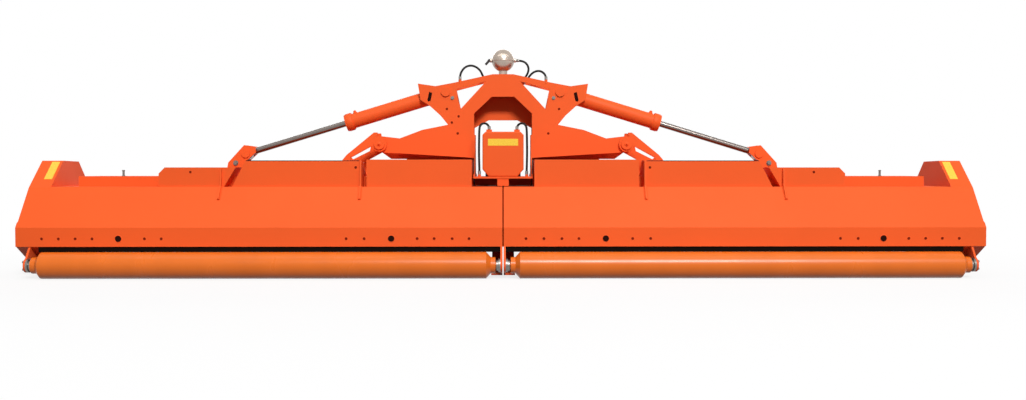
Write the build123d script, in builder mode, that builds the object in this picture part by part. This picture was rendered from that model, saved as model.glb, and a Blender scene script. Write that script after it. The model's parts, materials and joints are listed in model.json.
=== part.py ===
"""Folding tractor mulcher: two hammer-rotor wings hinged on a centre tower, at real size in mm.

X runs to the right as seen from behind, Y forward to the tractor and Z up from the ground.
Depths are measured forward from the rear face of the hood's bottom strip.
"""
import os
from math import hypot, pi, radians, tan

from build123d import *

os.makedirs("parts", exist_ok=True)

# Overall sizes and common gauges
WORK_WIDTH = 5880
WING_GAP = 8
SHEET = 8
COVER_SHEET = 5
END_PLATE = 12
RUN_CLEAR = 0.3
SIDE_CLEAR = 6

# Hood section: depth and height of each bend
STRIP_BOTTOM = 190
STRIP_TOP = 305
FOLD_DEPTH = 175
DECK_Z = 548
DECK_END = 640
FRONT_DEPTH = 850
FRONT_TOP = 400
FRONT_LIP = 330

# Belt guard at the outer end of each wing
GUARD_WIDTH = 123
GUARD_TOP = 712
GUARD_BACK = 370
GUARD_FRONT = 600
GUARD_SETBACK = 30
GUARD_BOTTOM = 120
STRIP_EAR = 35

# Rubber curtain behind the hood's strip
CURTAIN_T = 8
CURTAIN_TOP = 235
CURTAIN_BOTTOM = 157

# Rear roller
ROLLER_R = 80
ROLLER_DEPTH = -30
ROLLER_HUB = 28
ROLLER_CONE = 28
ROLLER_WALL = 8
ROLLER_SHAFT_R = 20
ROLLER_CORE_R = 49
FLANGE_R = 42
FLANGE_T = 24
ARM_T = 12
ARM_INSET = 83

# Hammer rotor
ROTOR_DEPTH = 430
ROTOR_Z = 290
ROTOR_TUBE_R = 85
ROTOR_WALL = 14
ROTOR_SWING = 215
ROTOR_SHAFT_R = 35
ROTOR_INSET = 45
ROTOR_FLANGE_R = 85
HAMMER_COUNT = 26
HAMMER_TURNS = 2
HAMMER_T = 42
HAMMER_PIN_R = 11
PIVOT_R = 135
LUG_T = 10
LUG_R = 26
LUG_GAP = 2

# Skids and front flaps
SKID_W = 70
SKID_T = 10
SKID_BACK = 150
SKID_FRONT = 610
FLAP_PITCH = 68
FLAP_W = 62
FLAP_T = 8
FLAP_ROD_R = 9
FLAP_BOTTOM = 110

# Spine on the deck
SPINE_DEPTH = 190
SPINE_END = 630
SPINE_CLEAR = 9
BEAM_BACK = 300
BEAM_H = 65
BEAM_END_GAP = 125
DRIVE_COVER_H = 105
PANEL_DEPTH = 400
SLIT_X = 850
SLIT_W = 42
MID_COVER_END = 1685
MID_COVER_LEAN = 82
MID_COVER_H = 95
OUTER_COVER_X = 1736
OUTER_COVER_LEAN = 74
OUTER_COVER_END = 2140
OUTER_COVER_H = 56
COVER_CUT = 38
GUSSET_T = 10
GUSSET_STAND = 14

# Tower, arms and fold hinge
LEG_INNER = 187
TOWER_T = 16
TOWER_RISE = 451
BAY_DEPTH = 513
BAY_HALF = 60
ARM_LIFT = 17
ARM_CLEAR = 7
ARM_END_R = 52
HINGE_X = 798
HINGE_RISE = 85
HINGE_PIN_R = 25
EAR_T = 16
TIE_T = 10

# Folding cylinder
BASE_PIN_X = 370
BASE_PIN_RISE = 337
BASE_EYE_W = 100
PIN_R = 20
ROD_PIN_X = 1670
ROD_PIN_RISE = 147
BARREL_R = 48
BARREL_WALL = 8
BARREL_END = 634
GLAND_R = 54
GLAND_LEN = 50
ROD_R = 20
ROD_TAIL = 652
EYE_R = 40
EYE_W = 50
BASE_EYE_R = 45

# Gearbox and cradle between the wings
CRADLE_T = 8
CRADLE_RAIL = 28
SKIRT_CLEAR = 5
SKIRT_T = 12
WEB_HALF = 36
CRADLE_LIFT = 51
CRADLE_BACK = 250
GEARBOX_BACK = 340
GEARBOX_FRONT = 700
GEARBOX_H = 225
GEARBOX_HALF = 112
GEARBOX_BOSS = 10
COVER_HALF = 130
COVER_H = 277
COVER_BACK = 255
BUMP_X = 88
BUMP_H = 14
PTO_R = 17.45
PTO_RISE = 124
PTO_LEN = 110
PTO_ROOT_R = 32
PTO_BOSS = 25

# Three-point hitch
HITCH_CLEAR = 30
HITCH_TUBE = 90
SEAM_GUARD_HALF = 40
SEAM_GUARD_T = 10
SEAM_GUARD_BOTTOM = 120
HITCH_PIN_Z = 480
LOWER_SPAN = 965
LOWER_PIN_R = 18.3
LOWER_PIN_LEN = 140
LOWER_PLATE = 20
MAST_HEIGHT = 685
MAST_T = 20
MAST_LEG = 206
MAST_W = 60
TOP_BORE_R = 16
TOP_GAP = 60
CLEVIS_T = 16
CLEVIS_REACH = 95

# Accumulator on the tower top, and the hoses with their studs
SPHERE_R = 73.5
NECK_H = 30
HOSE_R = 7
HOSE_SHARE = 0.45
STUD_R = 10
STUD_LEN = 14

# Derived places
HALF_WIDTH = WORK_WIDTH / 2
WING_X = WING_GAP / 2
HOOD_X = WING_X + END_PLATE
GUARD_X = HALF_WIDTH - GUARD_WIDTH
PLATE_X = GUARD_X - END_PLATE
BEAM_TOP = DECK_Z + BEAM_H
DRIVE_TOP = BEAM_TOP + DRIVE_COVER_H
ARM_BOTTOM = DRIVE_TOP + ARM_LIFT
HINGE_Z = ARM_BOTTOM + HINGE_RISE
TOWER_TOP = HINGE_Z + TOWER_RISE
BEAM_X = LEG_INNER + SPINE_CLEAR
BEAM_END = PLATE_X - BEAM_END_GAP
ROLLER_Z = ROLLER_R
REAR_PLATE = BAY_DEPTH - BAY_HALF - TOWER_T
FRONT_PLATE = BAY_DEPTH + BAY_HALF
CRADLE_Z = DECK_Z + CRADLE_LIFT
BASE_PIN_Z = HINGE_Z + BASE_PIN_RISE
ROD_PIN_Z = BEAM_TOP + ROD_PIN_RISE
TOP_LINK_Z = HITCH_PIN_Z + MAST_HEIGHT
GUARD_NOSE = FRONT_DEPTH - GUARD_SETBACK
HITCH_DEPTH = FRONT_DEPTH + HITCH_CLEAR
HITCH_AXIS = HITCH_DEPTH + HITCH_TUBE / 2
MAST_DEPTH = HITCH_DEPTH + 20
FRONT_REACH = HITCH_DEPTH + CLEVIS_REACH
STRIP_Y = -(FRONT_REACH + ROLLER_DEPTH - ROLLER_R) / 2
HOOD_LINE = [
    (0, STRIP_BOTTOM),
    (0, STRIP_TOP),
    (FOLD_DEPTH, DECK_Z),
    (DECK_END, DECK_Z),
    (FRONT_DEPTH, FRONT_TOP),
    (FRONT_DEPTH, FRONT_LIP),
]


def section(x):
    """Plane across the machine at x: sketch x is depth, sketch y is height, extruding to +X."""
    return Plane(origin=(x, STRIP_Y, 0), x_dir=(0, 1, 0), z_dir=(1, 0, 0))


def upright(depth):
    """Plane facing the rear at a depth: sketch x is across, sketch y is height."""
    return Plane(origin=(0, STRIP_Y + depth, 0), x_dir=(1, 0, 0), z_dir=(0, -1, 0))


def outline(points):
    """Fill a closed outline in the sketch that is open."""
    with BuildLine() as edge:
        Polyline(*points, close=True)
    make_face(edge.edges())


def sheet(points, gauge):
    """Fill a bent sheet of this gauge on the right-hand side of a line of bends."""
    with BuildLine() as bends:
        Polyline(*points)
        offset(amount=gauge, side=Side.RIGHT, kind=Kind.INTERSECTION)
    make_face(bends.edges())


def disc(at, radius, mode=Mode.ADD):
    """Circle about a point of the sketch that is open."""
    with Locations(at):
        Circle(radius, mode=mode)


def block(across, depths, heights, mode=Mode.ADD):
    """Box between two values in each direction, in the part that is open."""
    middle = (sum(across) / 2, STRIP_Y + sum(depths) / 2, sum(heights) / 2)
    with Locations(middle):
        Box(across[1] - across[0], depths[1] - depths[0], heights[1] - heights[0], mode=mode)


def mirrored(points):
    """Right half outline, from the centre line outwards, with its left half added."""
    return points + [(-x, z) for x, z in reversed(points)]


# Hood: one bent sheet from end plate to end plate, its strip and slope lapping over the belt guard
slope_rise = DECK_Z - STRIP_TOP
slope_length = hypot(FOLD_DEPTH, slope_rise)
slope_plane = Plane(
    origin=(PLATE_X, STRIP_Y, STRIP_TOP),
    x_dir=(1, 0, 0),
    z_dir=(0, -slope_rise / slope_length, FOLD_DEPTH / slope_length),
)
with BuildPart() as hood:
    with BuildSketch(section(HOOD_X)):
        sheet(HOOD_LINE, SHEET)
    extrude(amount=PLATE_X - HOOD_X)
    block((PLATE_X, HALF_WIDTH), (0, SHEET), (STRIP_BOTTOM, STRIP_TOP))
    with BuildSketch(slope_plane):
        lap = HALF_WIDTH - PLATE_X
        outline([(0, 0), (lap, 0), (lap, STRIP_EAR), (0, slope_length)])
    extrude(amount=-SHEET)
hood.part.label = "hood"

# Belt guard: a deep pan, open towards the outer end plate
normal_depth = SHEET * slope_rise / slope_length
normal_drop = SHEET * FOLD_DEPTH / slope_length
strip_inner_top = STRIP_TOP - normal_drop + (SHEET - normal_depth) * slope_rise / FOLD_DEPTH
GUARD_LINE = [
    (SHEET, STRIP_BOTTOM),
    (SHEET, strip_inner_top),
    (FOLD_DEPTH + normal_depth, DECK_Z - normal_drop),
    (GUARD_BACK, GUARD_TOP),
    (GUARD_FRONT, GUARD_TOP - 4),
    (GUARD_FRONT + 100, GUARD_TOP - 104),
    (GUARD_NOSE, FRONT_TOP + 20),
    (GUARD_NOSE, 200),
    (GUARD_NOSE - 120, GUARD_BOTTOM),
    (120, GUARD_BOTTOM),
]
with BuildPart() as belt_guard:
    with BuildSketch(section(GUARD_X)):
        outline(GUARD_LINE)
    extrude(amount=GUARD_WIDTH)
    with BuildSketch(section(GUARD_X)):
        outline(GUARD_LINE)
        offset(amount=-COVER_SHEET, kind=Kind.INTERSECTION, mode=Mode.REPLACE)
    extrude(amount=GUARD_WIDTH - COVER_SHEET, mode=Mode.SUBTRACT)
belt_guard.part.label = "belt_guard"

# Rear curtain: a rubber strip behind the hood's strip, down to the roller
with BuildPart() as rear_curtain:
    block((HOOD_X, PLATE_X), (SHEET, SHEET + CURTAIN_T), (CURTAIN_BOTTOM, CURTAIN_TOP))
rear_curtain.part.label = "rear_curtain"

# End plates: the inner one carries its roller bearing, the outer one stands up behind the belt guard
skid_line = [(SKID_FRONT - SKID_T / 2, SKID_T), (SKID_BACK, SKID_T)]
front_edge = [(FRONT_DEPTH, FRONT_LIP), (FRONT_DEPTH, 250), (SKID_FRONT + 110, 110)]
inner_outline = HOOD_LINE[:-1] + front_edge + skid_line
inner_outline += [(ROLLER_DEPTH, ROLLER_Z - FLANGE_R), (ROLLER_DEPTH - FLANGE_R, ROLLER_Z)]
outer_outline = GUARD_LINE[:6] + [(FRONT_DEPTH, FRONT_TOP)] + front_edge + skid_line + [(120, GUARD_BOTTOM)]
roller_arm = [
    (ROLLER_DEPTH - FLANGE_R, ROLLER_Z),
    (SHEET, STRIP_BOTTOM),
    (120, GUARD_BOTTOM),
    (300, GUARD_BOTTOM),
    (220, GUARD_BOTTOM - 50),
    (ROLLER_DEPTH, ROLLER_Z - FLANGE_R),
]
roller_axis = (ROLLER_DEPTH, ROLLER_Z)
rotor_axis = (ROTOR_DEPTH, ROTOR_Z)
ARM_X = HALF_WIDTH - COVER_SHEET - ARM_INSET
with BuildPart() as end_plates:
    with BuildSketch(section(WING_X)):
        outline(inner_outline)
        disc(roller_axis, FLANGE_R)
        disc(roller_axis, ROLLER_SHAFT_R + 1, mode=Mode.SUBTRACT)
        disc(rotor_axis, ROTOR_SHAFT_R + 1, mode=Mode.SUBTRACT)
    extrude(amount=END_PLATE)
    with BuildSketch(section(PLATE_X)):
        outline(outer_outline)
        disc(rotor_axis, ROTOR_SHAFT_R + 1, mode=Mode.SUBTRACT)
    extrude(amount=END_PLATE)
    with BuildSketch(section(ARM_X)):
        outline(roller_arm)
        disc(roller_axis, FLANGE_R)
        disc(roller_axis, ROLLER_SHAFT_R + 1, mode=Mode.SUBTRACT)
    extrude(amount=ARM_T)
end_plates.part.label = "end_plates"

# Skids: bent soles under both end plates
with BuildPart() as skids:
    for skid_x in (WING_X, PLATE_X + END_PLATE - SKID_W):
        with BuildSketch(section(skid_x)):
            sheet([(SKID_FRONT + 150, 115), (SKID_FRONT, 0), (SKID_BACK, 0)], SKID_T)
        extrude(amount=SKID_W)
skids.part.label = "skids"

# Spine: a box beam along the deck, under the drive cover and two panels that stand on the deck behind it
with BuildPart() as spine_beam:
    block((BEAM_X, BEAM_END), (BEAM_BACK, SPINE_END), (DECK_Z, BEAM_TOP))
    inside = (BEAM_BACK + SHEET, SPINE_END - SHEET)
    block((BEAM_X, BEAM_END), inside, (DECK_Z + SHEET, BEAM_TOP - SHEET), mode=Mode.SUBTRACT)
spine_beam.part.label = "spine_beam"

MID_TOP = BEAM_TOP + MID_COVER_H
OUTER_TOP = BEAM_TOP + OUTER_COVER_H
COVERS = [  # depth of the front edge, then the outline of the rear face from its inner foot
    (SPINE_END, [(BEAM_X, DECK_Z), (BEAM_X, DRIVE_TOP), (SLIT_X, DRIVE_TOP), (SLIT_X, DECK_Z)]),
    (PANEL_DEPTH, [
        (SLIT_X + SLIT_W, DECK_Z),
        (SLIT_X + SLIT_W, MID_TOP),
        (MID_COVER_END - MID_COVER_LEAN, MID_TOP),
        (MID_COVER_END, DECK_Z),
    ]),
    (PANEL_DEPTH, [
        (OUTER_COVER_X, DECK_Z),
        (OUTER_COVER_X - OUTER_COVER_LEAN, OUTER_TOP),
        (OUTER_COVER_END - COVER_CUT, OUTER_TOP),
        (OUTER_COVER_END, OUTER_TOP - COVER_CUT),
        (OUTER_COVER_END, DECK_Z),
    ]),
]
with BuildPart() as spine_covers:
    for front, face in COVERS:
        with BuildSketch(upright(SPINE_DEPTH)):
            outline(face)
        extrude(amount=SPINE_DEPTH - front)
        with BuildSketch(upright(SPINE_DEPTH + COVER_SHEET)):
            outline(face)
            offset(amount=-COVER_SHEET, kind=Kind.INTERSECTION, mode=Mode.REPLACE)
        extrude(amount=SPINE_DEPTH - front + 2 * COVER_SHEET, mode=Mode.SUBTRACT)
        foot = (face[0][0] + 2 * COVER_SHEET, face[-1][0] - 2 * COVER_SHEET)
        depths = (SPINE_DEPTH + COVER_SHEET, front - COVER_SHEET)
        block(foot, depths, (DECK_Z, DECK_Z + COVER_SHEET), mode=Mode.SUBTRACT)
    block((BEAM_X, OUTER_COVER_END), (BEAM_BACK, SPINE_END), (DECK_Z, BEAM_TOP), mode=Mode.SUBTRACT)
spine_covers.part.label = "spine_covers"

# Fold hinge ears: a slanting bar each side of the tower arm, standing on the spine beam
EAR_REAR = REAR_PLATE - SIDE_CLEAR - EAR_T
EAR_FRONT = FRONT_PLATE + TOWER_T + SIDE_CLEAR
ear_back = [
    (HINGE_X + 10, HINGE_Z + 74),
    (HINGE_X + 34, HINGE_Z + 74),
    (HINGE_X + 210, HINGE_Z - 70),
    (HINGE_X + 245, HINGE_Z - 112),
    (HINGE_X + 372, BEAM_TOP),
]
EARS = [  # depth, lower edge from the foot to the eye, window
    (EAR_REAR, [(HINGE_X + 187, BEAM_TOP), (HINGE_X + 187, HINGE_Z - 84), (HINGE_X + 31, HINGE_Z - 1)], []),
    (EAR_FRONT, [(HINGE_X + 100, BEAM_TOP), (HINGE_X + 100, HINGE_Z - 105), (HINGE_X - 10, HINGE_Z - 45)],
     [(HINGE_X + 78, HINGE_Z - 14), (HINGE_X + 84, HINGE_Z - 42), (HINGE_X + 195, HINGE_Z - 97),
      (HINGE_X + 208, HINGE_Z - 85)]),
]
with BuildPart() as hinge_ears:
    for depth, lower_edge, window in EARS:
        with BuildSketch(upright(depth)):
            outline(ear_back + lower_edge)
            disc((HINGE_X, HINGE_Z), HINGE_PIN_R + 24)
            disc((HINGE_X, HINGE_Z), HINGE_PIN_R + RUN_CLEAR, mode=Mode.SUBTRACT)
        extrude(amount=-EAR_T)
        if window:
            with BuildSketch(upright(depth)):
                outline(window)
            extrude(amount=-EAR_T, mode=Mode.SUBTRACT)
    tie_x = HINGE_X + 262
    block((tie_x, tie_x + TIE_T), (EAR_REAR + EAR_T, EAR_FRONT), (BEAM_TOP, HINGE_Z - 150))
hinge_ears.part.label = "hinge_ears"

# Gussets: a plate in the slit from the slope up to the beam, and a stiffener below the cylinder ears
gusset_foot = FOLD_DEPTH * 0.675
gusset_foot_z = STRIP_TOP + slope_rise * 0.675
stand_back = GUSSET_STAND * slope_rise / slope_length
stand_up = GUSSET_STAND * FOLD_DEPTH / slope_length
slit_top = DRIVE_TOP - COVER_SHEET
panel_top = OUTER_TOP - COVER_SHEET
GUSSETS = [  # place across, then the edge from the deck's fold forward and up to the top
    (SLIT_X + SLIT_W - GUSSET_T - 2, [
        (BEAM_BACK, DECK_Z),
        (BEAM_BACK, BEAM_TOP),
        (EAR_REAR, BEAM_TOP),
        (SPINE_DEPTH + 80, slit_top),
        (SPINE_DEPTH - GUSSET_STAND, slit_top),
    ]),
    (OUTER_COVER_X + GUSSET_T, [
        (SPINE_DEPTH, DECK_Z),
        (SPINE_DEPTH, panel_top),
        (SPINE_DEPTH - GUSSET_STAND, panel_top),
    ]),
]
with BuildPart() as gussets:
    for gusset_x, edge_up in GUSSETS:
        with BuildSketch(section(gusset_x)):
            outline(
                [(gusset_foot, gusset_foot_z), (FOLD_DEPTH, DECK_Z)]
                + edge_up
                + [
                    (FOLD_DEPTH - stand_back, DECK_Z + stand_up),
                    (gusset_foot - stand_back, gusset_foot_z + stand_up),
                ]
            )
        extrude(amount=GUSSET_T)
gussets.part.label = "gussets"

# Cylinder ears: two leaning plates with the heads of the rod pin, open above for the rod's eye
EAR_GAP = EYE_W / 2 + SIDE_CLEAR
cylinder_outline = [
    (ROD_PIN_X + 31, BEAM_TOP),
    (ROD_PIN_X + 130, BEAM_TOP),
    (ROD_PIN_X + 114, ROD_PIN_Z - 60),
    (ROD_PIN_X + 10, ROD_PIN_Z + 54),
    (ROD_PIN_X - 60, ROD_PIN_Z + 44),
    (ROD_PIN_X - 66, ROD_PIN_Z + 8),
    (ROD_PIN_X - 8, ROD_PIN_Z - 46),
]
with BuildPart() as cylinder_ears:
    for ear in (BAY_DEPTH - EAR_GAP - EAR_T, BAY_DEPTH + EAR_GAP):
        with BuildSketch(upright(ear)):
            outline(cylinder_outline)
        extrude(amount=-EAR_T)
        with BuildSketch(upright(ear - 8 if ear < BAY_DEPTH else ear + EAR_T)):
            disc((ROD_PIN_X, ROD_PIN_Z), PIN_R + 8)
        extrude(amount=-8)
    block((ROD_PIN_X + 75, ROD_PIN_X + 75 + TIE_T), (BAY_DEPTH - EAR_GAP, BAY_DEPTH + EAR_GAP),
          (BEAM_TOP, BEAM_TOP + 60))
cylinder_ears.part.label = "cylinder_ears"

# Bearings: flanged housings of the roller and of the rotor
BEARINGS = [  # face that it is bolted to, direction, axis, flange radius, shaft radius
    (HOOD_X, 1, roller_axis, FLANGE_R, ROLLER_SHAFT_R),
    (ARM_X, -1, roller_axis, FLANGE_R, ROLLER_SHAFT_R),
    (HOOD_X, 1, rotor_axis, ROTOR_FLANGE_R, ROTOR_SHAFT_R),
    (PLATE_X, -1, rotor_axis, ROTOR_FLANGE_R, ROTOR_SHAFT_R),
]
with BuildPart() as bearings:
    for face_x, way, axis, flange, shaft in BEARINGS:
        with BuildSketch(section(face_x)):
            disc(axis, flange)
            disc(axis, shaft + RUN_CLEAR, mode=Mode.SUBTRACT)
        extrude(amount=way * FLANGE_T / 2)
        with BuildSketch(section(face_x + way * FLANGE_T / 2)):
            disc(axis, flange * 0.78)
            disc(axis, shaft + RUN_CLEAR, mode=Mode.SUBTRACT)
        extrude(amount=way * FLANGE_T / 2)
bearings.part.label = "bearings"

# Front flaps: steel plates hung on a rod below the front lip
flap_depth = FRONT_DEPTH - SHEET / 2
flap_z = FRONT_LIP - FLAP_ROD_R - RUN_CLEAR
flap_count = int((PLATE_X - HOOD_X) // FLAP_PITCH)
flap_start = (HOOD_X + PLATE_X - (flap_count - 1) * FLAP_PITCH) / 2
with BuildPart() as front_flaps:
    with BuildSketch(section(HOOD_X)):
        disc((flap_depth, flap_z), FLAP_ROD_R)
    extrude(amount=PLATE_X - HOOD_X)
    for index in range(flap_count):
        middle = flap_start + index * FLAP_PITCH
        across = (middle - FLAP_W / 2, middle + FLAP_W / 2)
        block(across, (flap_depth - FLAP_T / 2, flap_depth + FLAP_T / 2), (FLAP_BOTTOM, flap_z))
front_flaps.part.label = "front_flaps"

# Roller: a tube with hubs and coned ends on a through shaft
ROLLER_START = HOOD_X + FLANGE_T + SIDE_CLEAR
ROLLER_STOP = ARM_X - FLANGE_T - SIDE_CLEAR
roller_in = ROLLER_START + ROLLER_HUB + ROLLER_CONE
roller_out = ROLLER_STOP - ROLLER_HUB - ROLLER_CONE
with BuildPart() as roller:
    with BuildSketch(Plane(origin=(0, STRIP_Y + ROLLER_DEPTH, ROLLER_Z), x_dir=(1, 0, 0), z_dir=(0, -1, 0))):
        outline([
            (WING_X + 2, 0),
            (WING_X + 2, ROLLER_SHAFT_R),
            (ROLLER_START, ROLLER_SHAFT_R),
            (ROLLER_START, ROLLER_CORE_R),
            (ROLLER_START + ROLLER_HUB, ROLLER_CORE_R),
            (roller_in, ROLLER_R),
            (roller_out, ROLLER_R),
            (ROLLER_STOP - ROLLER_HUB, ROLLER_CORE_R),
            (ROLLER_STOP, ROLLER_CORE_R),
            (ROLLER_STOP, ROLLER_SHAFT_R),
            (ARM_X + ARM_T - 2, ROLLER_SHAFT_R),
            (ARM_X + ARM_T - 2, 0),
        ])
    revolve(axis=Axis((0, STRIP_Y + ROLLER_DEPTH, ROLLER_Z), (1, 0, 0)))
    with BuildSketch(section(roller_in)):
        disc(roller_axis, ROLLER_R - ROLLER_WALL)
    extrude(amount=roller_out - roller_in, mode=Mode.SUBTRACT)
roller.part.label = "roller"

# Rotor: a tube with pairs of lugs on a double helix, and a hammer pinned in each pair
ROTOR_START = HOOD_X + ROTOR_INSET
ROTOR_STOP = PLATE_X - ROTOR_INSET
hammer_pitch = (ROTOR_STOP - ROTOR_START) / HAMMER_COUNT
hammer_places = []
for index in range(HAMMER_COUNT):
    turn = index * 360 * HAMMER_TURNS / HAMMER_COUNT + 180 * (index % 2)
    place = (ROTOR_START + (index + 0.5) * hammer_pitch, STRIP_Y + ROTOR_DEPTH, ROTOR_Z)
    hammer_places.append(Location(place, (turn, 0, 0)))

lug_offset = HAMMER_T / 2 + LUG_GAP
with BuildPart() as lug_pair:
    for face_x in (-lug_offset - LUG_T, lug_offset):
        with BuildSketch(Plane.YZ.offset(face_x)):
            disc((0, PIVOT_R), LUG_R)
            outline([
                (-LUG_R, PIVOT_R),
                (LUG_R, PIVOT_R),
                (LUG_R + 14, ROTOR_TUBE_R - 12),
                (-LUG_R - 14, ROTOR_TUBE_R - 12),
            ])
            disc((0, PIVOT_R), HAMMER_PIN_R + RUN_CLEAR, mode=Mode.SUBTRACT)
        extrude(amount=LUG_T)

with BuildPart() as rotor:
    with BuildSketch(section(ROTOR_START)):
        disc(rotor_axis, ROTOR_TUBE_R)
    extrude(amount=ROTOR_STOP - ROTOR_START)
    with BuildSketch(section(WING_X + 2)):
        disc(rotor_axis, ROTOR_SHAFT_R)
    extrude(amount=PLATE_X + END_PLATE - WING_X - 4)
    with Locations(*hammer_places):
        add(lug_pair.part)
    with BuildSketch(section(ROTOR_START + ROTOR_SHAFT_R)):
        disc(rotor_axis, ROTOR_TUBE_R - ROTOR_WALL)
    extrude(amount=ROTOR_STOP - ROTOR_START - 2 * ROTOR_SHAFT_R, mode=Mode.SUBTRACT)
rotor.part.label = "rotor"

with BuildPart() as hammer:
    with BuildSketch(Plane.YZ.offset(-HAMMER_T / 2)):
        disc((0, PIVOT_R), LUG_R - 4)
        outline([
            (-LUG_R + 4, PIVOT_R),
            (LUG_R - 4, PIVOT_R),
            (LUG_R + 4, ROTOR_SWING - 45),
            (LUG_R + 14, ROTOR_SWING - 20),
            (LUG_R - 6, ROTOR_SWING - 4),
            (-LUG_R - 4, ROTOR_SWING - 8),
        ])
    extrude(amount=HAMMER_T)
    with BuildSketch(Plane.YZ.offset(-lug_offset - LUG_T)):
        disc((0, PIVOT_R), HAMMER_PIN_R)
    extrude(amount=2 * (lug_offset + LUG_T))

with BuildPart() as hammers:
    with Locations(*hammer_places):
        add(hammer.part)
hammers.part.label = "hammers"

# Folding cylinder: barrel on the tower's base pin, rod out to the wing's cylinder ears
reach_x = ROD_PIN_X - BASE_PIN_X
reach_z = ROD_PIN_Z - BASE_PIN_Z
PIN_TO_PIN = hypot(reach_x, reach_z)
base_pin = (BASE_PIN_X, STRIP_Y + BAY_DEPTH, BASE_PIN_Z)
along = (reach_x / PIN_TO_PIN, 0, reach_z / PIN_TO_PIN)


def station(distance):
    """Plane square to the cylinder's axis, this far from its base pin."""
    origin = Vector(*base_pin) + Vector(*along) * distance
    return Plane(origin=origin, x_dir=(0, 1, 0), z_dir=along)


def cylinder_eye(at, radius, width, bore):
    """Eye across the bay, with its bore, in the part that is open."""
    with BuildSketch(upright(BAY_DEPTH - width / 2)) as eye:
        disc(at, radius)
    extrude(eye.sketch, amount=-width)
    with BuildSketch(upright(BAY_DEPTH - width / 2)) as hole:
        disc(at, bore)
    extrude(hole.sketch, amount=-width, mode=Mode.SUBTRACT)


with BuildPart() as barrel:
    with BuildSketch(station(BASE_EYE_R - 10)):
        Circle(BARREL_R)
    extrude(amount=BARREL_END - BASE_EYE_R + 10)
    with BuildSketch(station(BARREL_END)):
        Circle(GLAND_R)
    extrude(amount=GLAND_LEN)
    with BuildSketch(station(BASE_EYE_R + 13)):
        Circle(BARREL_R - BARREL_WALL)
    extrude(amount=BARREL_END - BASE_EYE_R - 13, mode=Mode.SUBTRACT)
    with BuildSketch(station(BARREL_END)):
        Circle(ROD_R + RUN_CLEAR)
    extrude(amount=GLAND_LEN, mode=Mode.SUBTRACT)
    cylinder_eye((BASE_PIN_X, BASE_PIN_Z), BASE_EYE_R, BASE_EYE_W, PIN_R + RUN_CLEAR)
barrel.part.label = "barrel"

with BuildPart() as rod:
    with BuildSketch(station(ROD_TAIL)):
        Circle(ROD_R)
    extrude(amount=PIN_TO_PIN - EYE_R + 6 - ROD_TAIL)
    cylinder_eye((ROD_PIN_X, ROD_PIN_Z), EYE_R, EYE_W, PIN_R + RUN_CLEAR)
rod.part.label = "rod"

# Tower: rear and front plates with the hinge arms, open in the middle over the gearbox
arm_half = [
    (HINGE_X, HINGE_Z - ARM_END_R),
    (HINGE_X, HINGE_Z + ARM_END_R),
    (HINGE_X - 130, HINGE_Z + 37),
    (LEG_INNER + 335, HINGE_Z + 92),
    (LEG_INNER + 169, HINGE_Z + 125),
    (LEG_INNER + 89, HINGE_Z + 225),
    (67, TOWER_TOP),
]
front_edge_z = DRIVE_TOP + ARM_CLEAR
PLATES = [  # depth, then the half outline of the opening's head and of the arm's lower edge
    (REAR_PLATE, [
        (73, HINGE_Z + 306),
        (LEG_INNER, HINGE_Z + 198),
        (LEG_INNER, ARM_BOTTOM - 5),
        (LEG_INNER + 58, ARM_BOTTOM),
    ]),
    (FRONT_PLATE, [
        (95, HINGE_Z + 160),
        (LEG_INNER, HINGE_Z + 110),
        (LEG_INNER, front_edge_z),
        (HINGE_X - 60, front_edge_z),
    ]),
]
tower_plates = []
for depth, opening in PLATES:
    with BuildPart() as tower_plate:
        with BuildSketch(upright(depth)):
            outline(mirrored(opening + arm_half))
            for side in (-1, 1):
                disc((side * HINGE_X, HINGE_Z), ARM_END_R)
                disc((side * HINGE_X, HINGE_Z), HINGE_PIN_R, mode=Mode.SUBTRACT)
        extrude(amount=-TOWER_T)
    tower_plates.append(tower_plate)
tower_rear_plate, tower_front_plate = tower_plates
tower_rear_plate.part.label = "tower_rear_plate"
tower_front_plate.part.label = "tower_front_plate"

# Ties: sheets that box in the arms and the tower top between the two plates
bay = 2 * BAY_HALF
TIES = [  # right-hand line of bends, with the sheet below it
    [(LEG_INNER + 169, HINGE_Z + 125), (LEG_INNER + 335, HINGE_Z + 92), (HINGE_X - 150, HINGE_Z + 45)],
    [(HINGE_X - 110, HINGE_Z - 47), (LEG_INNER + 58, ARM_BOTTOM)],
]
crown = [(67, TOWER_TOP), (LEG_INNER + 56, HINGE_Z + 257)]
crown_run = crown[1][0] - crown[0][0]
crown_drop = crown[0][1] - crown[1][1]
CROWN_STUDS = [(110, BAY_DEPTH), (124, BAY_DEPTH - 33), (-100, BAY_DEPTH)]


def crown_plane(stud_x, stud_depth):
    """Plane on the crown's slanting sheet, facing outwards, at this place across."""
    side = 1 if stud_x > 0 else -1
    height = TOWER_TOP - (abs(stud_x) - crown[0][0]) * crown_drop / crown_run
    outward = (side * crown_drop, 0, crown_run)
    return Plane(origin=(stud_x, STRIP_Y + stud_depth, height), x_dir=(0, 1, 0), z_dir=outward)


with BuildPart() as tower_ties:
    for side in (1, -1):
        for tie in TIES:
            line = [(side * x, z) for x, z in tie]
            line = line if side > 0 else line[::-1]
            with BuildSketch(upright(BAY_DEPTH - BAY_HALF)):
                sheet(line, TIE_T)
            extrude(amount=-bay)
    with BuildSketch(upright(BAY_DEPTH - BAY_HALF)):
        sheet([(-x, z) for x, z in reversed(crown)] + crown, TIE_T)
    extrude(amount=-bay)
    for stud_x, stud_depth in CROWN_STUDS:
        with BuildSketch(crown_plane(stud_x, stud_depth)):
            Circle(STUD_R)
        extrude(amount=STUD_LEN)
tower_ties.part.label = "tower_ties"

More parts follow.
